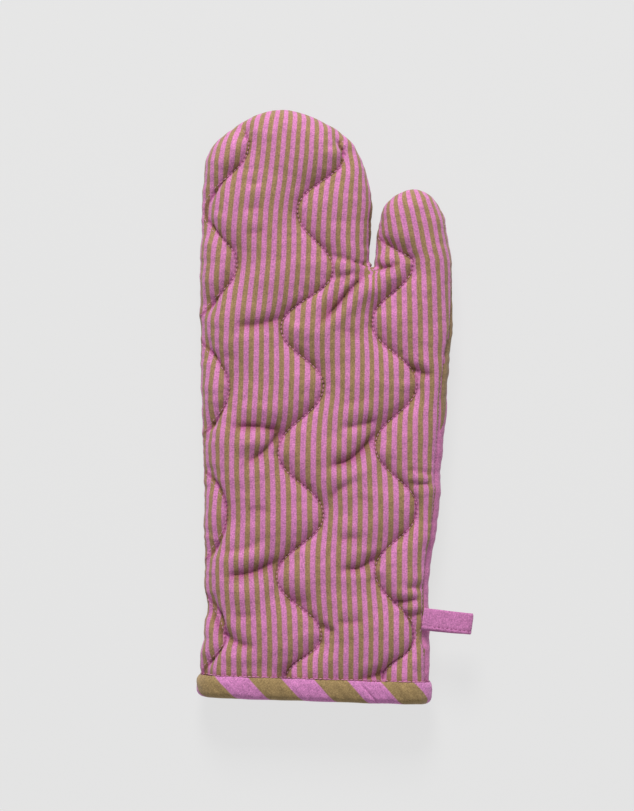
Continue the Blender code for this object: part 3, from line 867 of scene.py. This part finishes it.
def cottonFinish(nodes, colour, uv):
    # weave, slubs and mottling over a base colour
    split = nodes.add('ShaderNodeSeparateXYZ', {0: uv})
    across, along = split.outputs["X"], split.outputs["Y"]
    yarns = nodes.add('ShaderNodeCombineXYZ', {"X": nodes.math('MULTIPLY', across, 2.2),
                                               "Y": nodes.math('MULTIPLY', along, 0.35)})
    slub = nodes.noise(yarns.outputs[0], 900, 2.0)
    picks = nodes.add('ShaderNodeCombineXYZ', {"X": nodes.math('MULTIPLY', across, 0.5),
                                               "Y": nodes.math('MULTIPLY', along, 2.0)})
    pick = nodes.noise(picks.outputs[0], 800, 2.0)
    grain = nodes.noise(uv, 1100, 3.0, 0.7)
    mottle = nodes.noise(uv, 170, 4.0, 0.6)
    total = nodes.math('MULTIPLY_ADD', slub, weave["slub"], 1 - weave["slub"] / 2)
    total = nodes.math('MULTIPLY_ADD', pick, weave["slub"], total)
    total = nodes.math('MULTIPLY_ADD', grain, weave["grain"], total)
    total = nodes.math('MULTIPLY_ADD', mottle, weave["mottle"], total)
    spare = (weave["slub"] + weave["grain"] + weave["mottle"]) / 2
    nodes.dye(colour, nodes.math('SUBTRACT', total, spare))
    turn = 2 * math.pi / weave["yarn"]
    warp = nodes.math('SINE', nodes.math('MULTIPLY', across, turn))
    weft = nodes.math('SINE', nodes.math('MULTIPLY', along, turn))
    crossing = nodes.math('MULTIPLY_ADD', nodes.math('MULTIPLY', warp, weft), 0.5, 0.5)
    height = nodes.math('MULTIPLY_ADD', grain, 1.6, crossing)
    nodes.bump(height, 0.55, weave["bump"])


# painted shade: the colour that the lines of quilting and the deep folds multiply the cloth's colour by,
# and its strongest share
paintedShade = {"colour": (0.50, 0.26, 0.36), "most": 0.75}     # what deep folds multiply the cloth's colour by


def stripedCotton(name, pink, olive, pitch, centre, edge, quilted=False):
    # yarn-dyed stripes of equal width, across the cloth's own first coordinate; when quilted, with painted
    # shade along the quilting and in the folds
    nodes = Nodes(name)
    uv = nodes.add('ShaderNodeUVMap', uv_map="cloth").outputs[0]
    split = nodes.add('ShaderNodeSeparateXYZ', {0: uv})
    wander = nodes.noise(uv, 60, 1.0)
    ragged = nodes.noise(uv, 1400, 1.0)
    across = nodes.math('MULTIPLY_ADD', wander, 0.5 * mm, split.outputs["X"])
    across = nodes.math('MULTIPLY_ADD', ragged, 0.35 * mm, across)
    turn = nodes.math('MULTIPLY', nodes.math('SUBTRACT', across, centre + 0.42 * mm), 1 / pitch)
    place = nodes.math('ABSOLUTE', nodes.math('SUBTRACT', nodes.math('FRACT', turn), 0.5))
    mask = nodes.add('ShaderNodeMapRange', {"Value": place, "From Min": 0.25 - edge,
                                            "From Max": 0.25 + edge})
    colour = nodes.add('ShaderNodeMix', {"Factor": mask.outputs[0], "A": (*olive, 1), "B": (*pink, 1)},
                       data_type='RGBA')
    result = colour.outputs["Result"]
    if quilted:
        # painted shade: the cloth's colour is darkened along the lines of quilting, where the thread pulls
        # the cloth into a crease, most at each needle hole, and also in the deep folds and beside the
        # binding
        gap = nodes.add('ShaderNodeAttribute', attribute_name="stitchGap").outputs["Fac"]
        way = nodes.add('ShaderNodeAttribute', attribute_name="stitchWay").outputs["Fac"]
        holes = nodes.math('COSINE', nodes.math('MULTIPLY', way, 2 * math.pi / stitchValley["pitch"]))
        reach = nodes.math('MULTIPLY_ADD', holes, 0.15 * mm, 1.1 * mm)
        # painted shade along each line of quilting, strongest at the line and gone about a millimetre from
        # it
        pull = nodes.add('ShaderNodeMapRange', {"Value": gap, "From Min": 0.1 * mm, "From Max": reach,
                                                "To Min": paintedShade["most"], "To Max": 0.0})
        fold = nodes.add('ShaderNodeAttribute', attribute_name="foldShade").outputs["Fac"]
        shade = nodes.math('MAXIMUM', pull.outputs[0], nodes.math('MULTIPLY', fold, paintedShade["most"]))
        dark = nodes.add('ShaderNodeMix', {"Factor": shade, "B": (*paintedShade["colour"], 1)},
                         data_type='RGBA', blend_type='MULTIPLY')
        nodes.tree.links.new(result, dark.inputs["A"])
        result = dark.outputs["Result"]
    cottonFinish(nodes, result, uv)
    nodes.surface(0.9, 0.22, (1.0, 0.88, 0.94))
    return nodes.material


def plainCotton(name, colour, sheen=0.22):
    nodes = Nodes(name)
    uv = nodes.add('ShaderNodeUVMap', uv_map="cloth").outputs[0]
    base = nodes.add('ShaderNodeCombineXYZ', {"X": colour[0], "Y": colour[1], "Z": colour[2]})
    cottonFinish(nodes, base.outputs[0], uv)
    nodes.surface(0.9, sheen, (1.0, 0.88, 0.94))
    return nodes.material


def loftyWadding(name, colour):
    nodes = Nodes(name)
    place = nodes.add('ShaderNodeTexCoord').outputs["Object"]
    tufts = nodes.noise(place, 260, 5.0, 0.65)
    fibres = nodes.noise(place, 1500, 3.0, 0.7)
    value = nodes.math('MULTIPLY_ADD', fibres, 0.20, nodes.math('MULTIPLY_ADD', tufts, 0.22, 0.80))
    nodes.dye(colour, value)
    height = nodes.math('MULTIPLY_ADD', fibres, 0.4, tufts)
    nodes.bump(height, 0.8, 0.5 * mm)
    nodes.surface(1.0, 0.35, (1, 1, 1))
    return nodes.material


def twistedThread(name, colour):
    nodes = Nodes(name)
    place = nodes.add('ShaderNodeTexCoord').outputs["Object"]
    dye = nodes.noise(place, 700, 2.0)
    value = nodes.math('MULTIPLY_ADD', dye, 0.35, 0.82)
    nodes.dye(colour, value)
    twist = nodes.noise(place, 5200, 1.0)
    nodes.bump(twist, 0.6, 0.05 * mm)
    nodes.surface(0.75, 0.15, (1, 0.9, 0.95))
    return nodes.material


stripes = {
    "pitch": 6.2 * mm,          # one pink and one olive stripe of the front
    "pinkAt": 0.1 * mm,
    "edge": 0.045,              # how softly one colour turns into the other, as a share of the pitch
    "widePitch": 27.0 * mm,
    "widePinkAt": 74.0 * mm,
    "wideEdge": 0.012,
    "bindingPitch": 29.8 * mm,
    "bindingPinkAt": -16.2 * mm,
    "bindingEdge": 0.010,
}
# quilted=True gives the front and back cotton painted shade along the quilting and in the folds
frontCotton = stripedCotton("narrowStripeCotton", cottonColours["pink"], cottonColours["olive"],
                            stripes["pitch"], stripes["pinkAt"], stripes["edge"], quilted=True)
backCotton = stripedCotton("wideStripeCotton", cottonColours["backPink"], cottonColours["backOlive"],
                           stripes["widePitch"], stripes["widePinkAt"], stripes["wideEdge"], quilted=True)
bindingCotton = stripedCotton("biasBindingCotton", cottonColours["bindingPink"],
                              cottonColours["bindingOlive"], stripes["bindingPitch"],
                              stripes["bindingPinkAt"], stripes["bindingEdge"])
loopCotton = plainCotton("loopCotton", cottonColours["loopPink"])
liningCotton = plainCotton("liningCotton", cottonColours["lining"], 0.1)
cottonWadding = loftyWadding("cottonWadding", cottonColours["wadding"])
quiltThread = twistedThread("quiltThread", cottonColours["quiltThread"])
seamThread = twistedThread("seamThread", cottonColours["seamThread"])
edgeThread = twistedThread("edgeThread", cottonColours["edgeThread"])


for panel, side in (("front", 1), ("back", -1)):
    finePatch = panelPatch(fineBody, panel + "Fine", side, layers["shellGap"])
    outer = readPoints(finePatch.data)
    inner = outer - readNormals(finePatch.data) * layers["shell"]
    shell = layerBetween(panel + "Shell", finePatch, outer, inner,
                         frontCotton if side > 0 else backCotton,
                         panel + "_shell")

    patch = panelPatch(body, panel + "Coarse", side, layers["paddingGap"])
    trimCrotch(patch)
    puffed = readPoints(patch.data)
    smooth, smoothNormal = fetch(patch.data, "smooth"), fetch(patch.data, "smoothNormal")
    smoothNormal /= np.linalg.norm(smoothNormal, axis=1)[:, None]
    gap = quiltGap(smooth[:, :2])[0]
    edge = nearestOnPath(smooth[:, :2], outline, closed=True)[0]
    reach = layers["stitchSpread"] * stitchValley["width"]
    valley = stitchValley["depth"] * np.clip(1 - gap / reach, 0, 1)
    creases = frontCreases if side > 0 else backCreases
    valley += np.maximum(creaseStep(smooth[:, :2], creases, layers["foldSpread"]), 0)
    seamGap = np.abs(smooth[:, 2] - seamHeight(smooth[:, 0], smooth[:, 1]))
    nearSeam = np.exp(-(seamGap / layers["seamSpread"]) ** 2)
    valley += (edge < mitt["edgeRun"]) * seam["valleyDepth"] * nearSeam
    valley += smallWrinkles["seamHeight"] * np.exp(-edge / smallWrinkles["seamReach"])
    under = layers["shell"] + layers["slack"] + layers["sink"] * valley
    top = puffed - readNormals(patch.data) * under[:, None]
    sunk = ((smooth - top) * smoothNormal).sum(1)
    depth = np.maximum(layers["shell"] + layers["ease"] + layers["padding"],
                       sunk + layers["pinched"])
    bottom = smooth - smoothNormal * depth[:, None]
    wadding = layerBetween(panel + "Wadding", patch, top, bottom, cottonWadding,
                           panel + "_wadding")
    liningTop = bottom - smoothNormal * layers["ease"]
    liningBottom = liningTop - smoothNormal * layers["lining"]
    lining = layerBetween(panel + "Lining", patch, liningTop, liningBottom, liningCotton,
                          panel + "_lining")
    for spare in (finePatch, patch):
        bpy.data.objects.remove(spare, do_unlink=True)
    print(panel, "panel: shell", len(shell.data.polygons), "faces")


stitch = {
    "pitch": stitchValley["pitch"],
    "length": 2.0 * mm,
    "thick": 0.46 * mm,
    "sunk": 0.02 * mm,
}


def stitchMesh():
    # one stitch along X, modelled once and copied for all of them
    bpy.ops.object.select_all(action='DESELECT')
    bpy.ops.mesh.primitive_uv_sphere_add(segments=6, ring_count=6, radius=0.5,
                                         rotation=(0, math.pi / 2, 0))
    item = bpy.context.view_layer.objects.active
    bpy.ops.object.transform_apply(location=True, rotation=True, scale=True)
    points = readPoints(item.data)
    faces = [list(face.vertices) for face in item.data.polygons]
    bpy.data.objects.remove(item, do_unlink=True)
    return points, faces


stitchPoints, stitchFaces = stitchMesh()


def sewLine(name, spots, runs, ups, material, node, size=1.0, bodyName="mitt"):
    # a row of stitches; each lies at a spot, along a run, on a surface that faces up
    points, faces = [], []
    for spot, run, up in zip(spots, runs, ups):
        run = run.normalized()
        side = up.cross(run).normalized()
        up = run.cross(side)
        base = len(points)
        slack = 1 + random.uniform(-0.12, 0.12)
        lift = random.uniform(-0.03, 0.05) * mm
        yaw = random.uniform(-0.12, 0.12)
        for x, y, z in stitchPoints:
            bow = 0.16 * mm * (1 - (2 * x) ** 2)
            along = x * stitch["length"] * slack * size
            thick = stitch["thick"] * size
            points.append(spot + run * along + side * (y * thick + along * yaw)
                          + up * (z * thick + bow + lift - stitch["sunk"]))
        faces += [[i + base for i in face] for face in stitchFaces]
    mesh = bpy.data.meshes.new(name)
    mesh.from_pydata(points, [], faces)
    mesh.materials.append(material)
    piece = newPiece(name, mesh)
    activate(piece)
    bpy.ops.object.shade_smooth()
    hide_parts(node)
    if bodyName == "mitt":
        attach(piece, "mitt")
    return piece


fineTree = BVHTree.FromPolygons([v.co.copy() for v in fineBody.data.vertices],
                                [list(p.vertices) for p in fineBody.data.polygons])

for panel, side in (("front", 1), ("back", -1)):
    for lineName, path in quiltPaths.items():
        even = evenPath([Vector(p) for p in path], stitch["pitch"])
        spots, runs, ups = [], [], []
        for before, after in zip(even[:-1], even[1:]):
            hits = []
            for x, y in (before, (before + after) / 2, after):
                hit, normal, _, _ = fineTree.ray_cast(Vector((x, y, side)), Vector((0, 0, -side)))
                hits.append((hit, normal))
            if all(hit for hit, _ in hits) and hits[1][0].y > mitt["bindingTop"] + 3 * mm:
                spots.append(hits[1][0])
                runs.append(hits[2][0] - hits[0][0])
                ups.append(hits[0][1] + hits[1][1] + hits[2][1])
        sewLine(f"{panel}Quilting{lineName.title()}", spots, runs, ups, quiltThread,
                f"{panel}_quilting_thread_{lineName}")

seamPath = evenPath([Vector(p) for p in outline], 2.4 * mm, closed=True)
spots, runs, ups = [], [], []
for before, here, after in zip(np.roll(seamPath, 1, axis=0), seamPath, np.roll(seamPath, -1, axis=0)):
    if here[1] < mitt["bindingTop"] + 2 * mm:
        continue
    height = float(seamHeight(here[0], here[1]))
    run = Vector(after - before)
    outward = Vector((run.y, -run.x, 0)).normalized()
    start = Vector((*here, height)) + outward * 2 * mm
    hit = fineTree.ray_cast(start, -outward, 12 * mm)[0]
    if hit:
        spots.append(hit)
        runs.append(Vector((run.x, run.y, 0)))
        ups.append(outward)
sewLine("sideSeamStitches", spots, runs, ups, seamThread, "side_seam_thread", 0.9)
print("stitches sewn")


# the binding: its profile is the folded tape's section, outwards from the cuff and along Y, mm
binding = {
    "halfHeight": mitt["halfThick"] - mitt["squeeze"],
    "left": -80.6 * mm,
    "right": 58.2 * mm,
    "roundSteps": 40,
    "profile": [(0.95, -167.2), (1.6, -168.6), (2.1, -171.4), (2.0, -175.0), (1.2, -178.3),
                (-1.2, -180.4), (-4.2, -180.8), (-7.0, -179.7), (-8.8, -177.0), (-9.3, -173.0),
                (-9.3, -169.0), (-9.0, -167.2)],
    "thick": 0.8 * mm,
    "wrinkle": 0.62 * mm,
    "pucker": 0.45 * mm,
    "leftSwell": 1.1 * mm,      # the tape is fuller where it turns round the cuff's left end
    "leftReach": 7 * mm,
    "freeFrom": 3 * mm,         # the tape is held flat this close to its stitching
    "sway": 0.35 * mm,
    "slant": 0.9,               # bias: how far a stripe runs along for each step down
    "grain": 0.743,             # from steps along and down the tape to its own threads
    "joinAt": 15.0 * mm,
    "joinDepth": 0.95 * mm,
    "stitchUp": 0.75 * mm,
}


def cuffContour():
    # the cuff's cross-section seen from its open end, starting over the middle of the front
    run, high = mitt["edgeRun"], binding["halfHeight"]
    points = []
    for centre, way in ((binding["right"] - run, 1), (binding["left"] + run, -1)):
        for step in range(binding["roundSteps"] + 1):
            angle = way * (math.pi / 2 - math.pi * step / binding["roundSteps"])
            points.append(Vector((centre + way * run * math.cos(angle), high * math.sin(angle))))
    return evenPath([Vector((0, high))] + points, 0.85 * mm, closed=True)


def tapeCloth(s, v):
    # a spot on the tape's own cloth, from how far along the cuff and down the tape it lies
    slant = binding["slant"]
    return (s - slant * v) * binding["grain"], (slant * s + v) * binding["grain"]


def makeBinding():
    contour = cuffContour()
    run = np.roll(contour, -1, axis=0) - np.roll(contour, 1, axis=0)
    run /= np.linalg.norm(run, axis=1)[:, None]
    outward = np.stack([-run[:, 1], run[:, 0]], 1)
    step = np.linalg.norm(np.roll(contour, -1, axis=0) - contour, axis=1)
    way = np.concatenate([[0], np.cumsum(step)[:-1]])
    total = step.sum()
    way = np.where(way > total / 2, way - total, way)
    profile = smoothLoop([Vector(p) * mm for p in binding["profile"]], 0.95 * mm, closed=False)
    down = lengthAlong(profile)
    points, places = [], []
    for (x, z), (nx, nz), s in zip(contour, outward, way):
        atLeft = math.exp(-((x - binding["left"]) / binding["leftReach"]) ** 2)
        for (offset, y), v in zip(profile, down):
            slanted = s - binding["slant"] * v
            free = min(1.0, v / binding["freeFrom"])
            fold = noise.noise((slanted / (5 * mm), (s + v) / (16 * mm), 3.0))
            fine = noise.noise((slanted / (2.2 * mm), (s + v) / (7 * mm), 11.0))
            pucker = noise.noise((s / (2.6 * mm), v / (5 * mm), 21.0)) * math.exp(-v / (3 * mm))
            swell = binding["wrinkle"] * (fold + 0.4 * fine) * free + binding["pucker"] * pucker
            swell += binding["leftSwell"] * atLeft * free
            gap = slanted - binding["joinAt"]
            overlap = math.exp(-(gap / (0.7 * mm)) ** 2) - 0.5 * math.exp(-((gap - 1.6 * mm) / mm) ** 2)
            swell -= binding["joinDepth"] * overlap * free
            sag = cuffTilt(x) - binding["sway"] * noise.noise((s / (14 * mm), 5.0, 1.0))
            out = offset + swell
            height = max(mitt["middleZ"] + z + nz * out, pad["floorGap"])
            points.append((x + nx * out, y + sag, height))
            places.append((s, v))
    rows = len(profile)
    count = len(contour)
    faces, loopsUv = [], []
    for i in range(count):
        after = (i + 1) % count
        for j in range(rows - 1):
            a, b = i * rows + j, after * rows + j
            faces.append((a, a + 1, b + 1, b))
            for corner in (a, a + 1, b + 1, b):
                s, v = places[corner]
                if abs(s - places[a][0]) > total / 2:
                    s += total if s < places[a][0] else -total
                loopsUv.append(tapeCloth(s, v))
    mesh = bpy.data.meshes.new("cuffBinding")
    mesh.from_pydata(points, [], faces)
    mesh.uv_layers.new(name="cloth").data.foreach_set("uv", np.array(loopsUv).ravel())
    mesh.materials.append(bindingCotton)
    piece = newPiece("cuffBinding", mesh)
    wall = piece.modifiers.new("tape", 'SOLIDIFY')
    wall.thickness = binding["thick"]
    wall.offset = -1
    applyModifier(piece, wall)
    bpy.ops.object.shade_smooth_by_angle(angle=math.radians(50))
    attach(piece, "mitt")
    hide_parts("cuff_binding")
    return contour


contour = makeBinding()
spots, runs, ups = [], [], []
topstitch = evenPath([Vector(p) for p in contour], stitch["pitch"], closed=True)
for before, here, after in zip(np.roll(topstitch, 1, axis=0), topstitch, np.roll(topstitch, -1, axis=0)):
    run = Vector((after[0] - before[0], 0, after[1] - before[1]))
    outward = Vector((-run.z, 0, run.x)).normalized()
    y = mitt["bindingTop"] + binding["stitchUp"] + cuffTilt(here[0])
    start = Vector((here[0], y, mitt["middleZ"] + here[1])) + outward * 6 * mm
    hit = fineTree.ray_cast(start, -outward, 20 * mm)[0]
    if hit:
        spots.append(hit + outward * 0.1 * mm)
        runs.append(run)
        ups.append(outward)
sewLine("bindingTopstitch", spots, runs, ups, quiltThread,
        "binding_stitch_thread", 1.15)
print("binding made")


# the hanging loop: its route is the strip's way out from the seam and back, along X and Z, mm
loop = {
    "hinge": Vector((57.61, -129.5, 25.08)) * mm,
    "sweep": math.radians(-6.5),
    "width": 12.9 * mm,
    "thick": 1.15 * mm,
    "route": [(-3.4, -0.62), (0, -0.7), (5, -1.1), (12, -2.1), (19, -2.75), (23.6, -2.4),
              (26.0, -1.1), (26.35, 0.3), (25.6, 1.8), (22.8, 2.7), (18, 2.75), (12, 2.1),
              (5, 1.15), (0, 0.7), (-3.4, 0.62)],
    "columns": 27,
    "hem": 2.2 * mm,            # stitching in from the edge
    "dip": 0.24 * mm,           # how far the hem's stitching is pulled in
    "puff": 0.10 * mm,
    "plainEnds": 6 * mm,        # no stitching this close to the seam
    "blendFrom": 54.4 * mm,
    "blendTo": 60.5 * mm,
}


def loopFrame():
    route = smoothLoop([Vector(p) * mm for p in loop["route"]], 0.75 * mm, closed=False)
    run = np.gradient(route, axis=0)
    run /= np.linalg.norm(run, axis=1)[:, None]
    outward = np.stack([run[:, 1], -run[:, 0]], 1)
    return route, run, outward


def loopSpot(place, outward, across, raised, share):
    # a point of the loop from its place along the strip, across it and off its middle
    skew = -0.75 * mm * (1 - smoothStep(share, 0.25, 0.55))
    wave = 0.16 * mm * noise.noise((share * 9, across / (5 * mm), 2.0))
    x = place[0] + outward[0] * (raised + wave)
    z = place[1] + outward[1] * (raised + wave)
    sway = 0.25 * mm * noise.noise((share * 4, 0, 8.0))
    local = Vector((x, across + skew + sway, z))
    local.rotate(Matrix.Rotation(loop["sweep"], 3, 'Z'))
    return loop["hinge"] + local


def makeLoop():
    route, run, outward = loopFrame()
    half = loop["width"] / 2
    columns = loop["columns"]
    across = np.concatenate([np.linspace(-1, 1, columns), np.linspace(1, -1, columns)[1:-1]])
    upper = np.concatenate([np.ones(columns), -np.ones(columns - 2)])
    points, cloth = [], []
    way = lengthAlong(route)
    for i, (place, out) in enumerate(zip(route, outward)):
        share = way[i] / way[-1]
        for w, up in zip(across, upper):
            spot = w * half
            thin = (1 - abs(w) ** 5) ** 0.5
            dip = loop["dip"] * math.exp(-((spot + half - loop["hem"]) / (0.55 * mm)) ** 2)
            puffy = loop["puff"] * math.exp(-((spot + half - 1.1 * mm) / (0.8 * mm)) ** 2)
            raised = up * (loop["thick"] / 2 * thin - dip + puffy * thin)
            points.append(loopSpot(place, out, spot, raised, share))
            cloth.append((spot + up * 20 * mm, way[i]))
    rows = len(across)
    faces = []
    for i in range(len(route) - 1):
        for j in range(rows):
            k = (j + 1) % rows
            faces.append((i * rows + j, (i + 1) * rows + j, (i + 1) * rows + k, i * rows + k))
    faces.append(tuple(range(rows)))
    faces.append(tuple((len(route) - 1) * rows + j for j in reversed(range(rows))))
    mesh = bpy.data.meshes.new("hangingLoop")
    mesh.from_pydata(points, [], faces)
    cloth = np.array(cloth)
    corner = np.empty(len(mesh.loops), dtype=int)
    mesh.loops.foreach_get("vertex_index", corner)
    mesh.uv_layers.new(name="cloth").data.foreach_set("uv", cloth[corner].ravel())
    mesh.materials.append(loopCotton)
    piece = newPiece("hangingLoop", mesh)
    activate(piece)
    bpy.ops.object.mode_set(mode='EDIT')
    bpy.ops.mesh.select_all(action='SELECT')
    bpy.ops.mesh.normals_make_consistent(inside=False)
    bpy.ops.object.mode_set(mode='OBJECT')
    bpy.ops.object.shade_smooth_by_angle(angle=math.radians(50))
    return piece, way[-1]


loopPiece, loopLength = makeLoop()
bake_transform(loopPiece)
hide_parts("hanging_loop")

route, run, outward = loopFrame()
way = lengthAlong(route)
spots, runs, ups = [], [], []
position = loop["plainEnds"]
while position < way[-1] - loop["plainEnds"]:
    share = position / way[-1]
    place = np.array([np.interp(position, way, route[:, k]) for k in (0, 1)])
    out = np.array([np.interp(position, way, outward[:, k]) for k in (0, 1)])
    raised = loop["thick"] / 2 - 0.16 * mm
    across = -loop["width"] / 2 + loop["hem"]
    spot = loopSpot(place, out, across, raised, share)
    ahead = np.array([np.interp(position + mm, way, route[:, k]) for k in (0, 1)])
    spots.append(spot)
    runs.append(loopSpot(ahead, out, across, raised, share) - spot)
    ups.append(loopSpot(place, out, across, raised + mm, share) - spot)
    position += stitch["pitch"] * 0.95
loopStitches = sewLine("loopStitches", spots, runs, ups, edgeThread,
                       "loop_stitch_thread", 0.72, bodyName="loop")
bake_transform(loopStitches)
print("loop made")

for spare in (body, fineBody):
    bpy.data.objects.remove(spare, do_unlink=True)


studio = {
    "floorColour": (0.08, 0.08, 0.08),
    "key": 138.0,
    "fill": 1.7,
    "world": 0.35,
    "floorGlow": 0.69,          # the floor's own light, which keeps its shadow faint
    "cameraHeight": 1.80,
    "viewMiddle": (-10.1 * mm, 0.2 * mm),
    "viewHeight": 495.5 * mm,
}
bpy.ops.object.select_all(action='DESELECT')
bpy.ops.mesh.primitive_plane_add(size=6, location=(0, 0, 0))
floor = bpy.context.view_layer.objects.active
floor.name = "floor"
floorNodes = Nodes("paleFloor")
floorNodes.shader.inputs["Base Color"].default_value = (*studio["floorColour"], 1)
floorNodes.shader.inputs["Roughness"].default_value = 0.9
floorNodes.shader.inputs["Emission Color"].default_value = (1, 1, 1, 1)
floorNodes.shader.inputs["Emission Strength"].default_value = studio["floorGlow"]
floor.data.materials.append(floorNodes.material)


def areaLight(name, spot, size, power, colour=(1, 1, 1)):
    light = bpy.data.lights.new(name, 'AREA')
    light.shape = 'SQUARE'
    light.size = size
    light.energy = power
    light.color = colour
    lamp = newPiece(name, light)
    lamp.location = spot
    lamp.rotation_euler = (-Vector(spot)).to_track_quat('-Z', 'Y').to_euler()
    return lamp


areaLight("key", (-0.3, 3.0, 2.1), 1.2, studio["key"], (1.0, 0.99, 0.97))
areaLight("fill", (0.5, -0.8, 1.8), 1.6, studio["fill"], (0.97, 0.98, 1.0))

world = bpy.data.worlds.new("studio")
bpy.context.scene.world = world
world.use_nodes = True
world.node_tree.nodes["Background"].inputs["Color"].default_value = (1, 1, 1, 1)
world.node_tree.nodes["Background"].inputs["Strength"].default_value = studio["world"]
bpy.context.scene.view_settings.view_transform = 'Standard'

lens = bpy.data.cameras.new("camera")
lens.sensor_fit = 'VERTICAL'
lens.sensor_height = 36
lens.lens = 36 * (studio["cameraHeight"] - mitt["middleZ"]) / studio["viewHeight"]
camera = newPiece("camera", lens)
camera.location = (*studio["viewMiddle"], studio["cameraHeight"])
bpy.context.scene.camera = camera
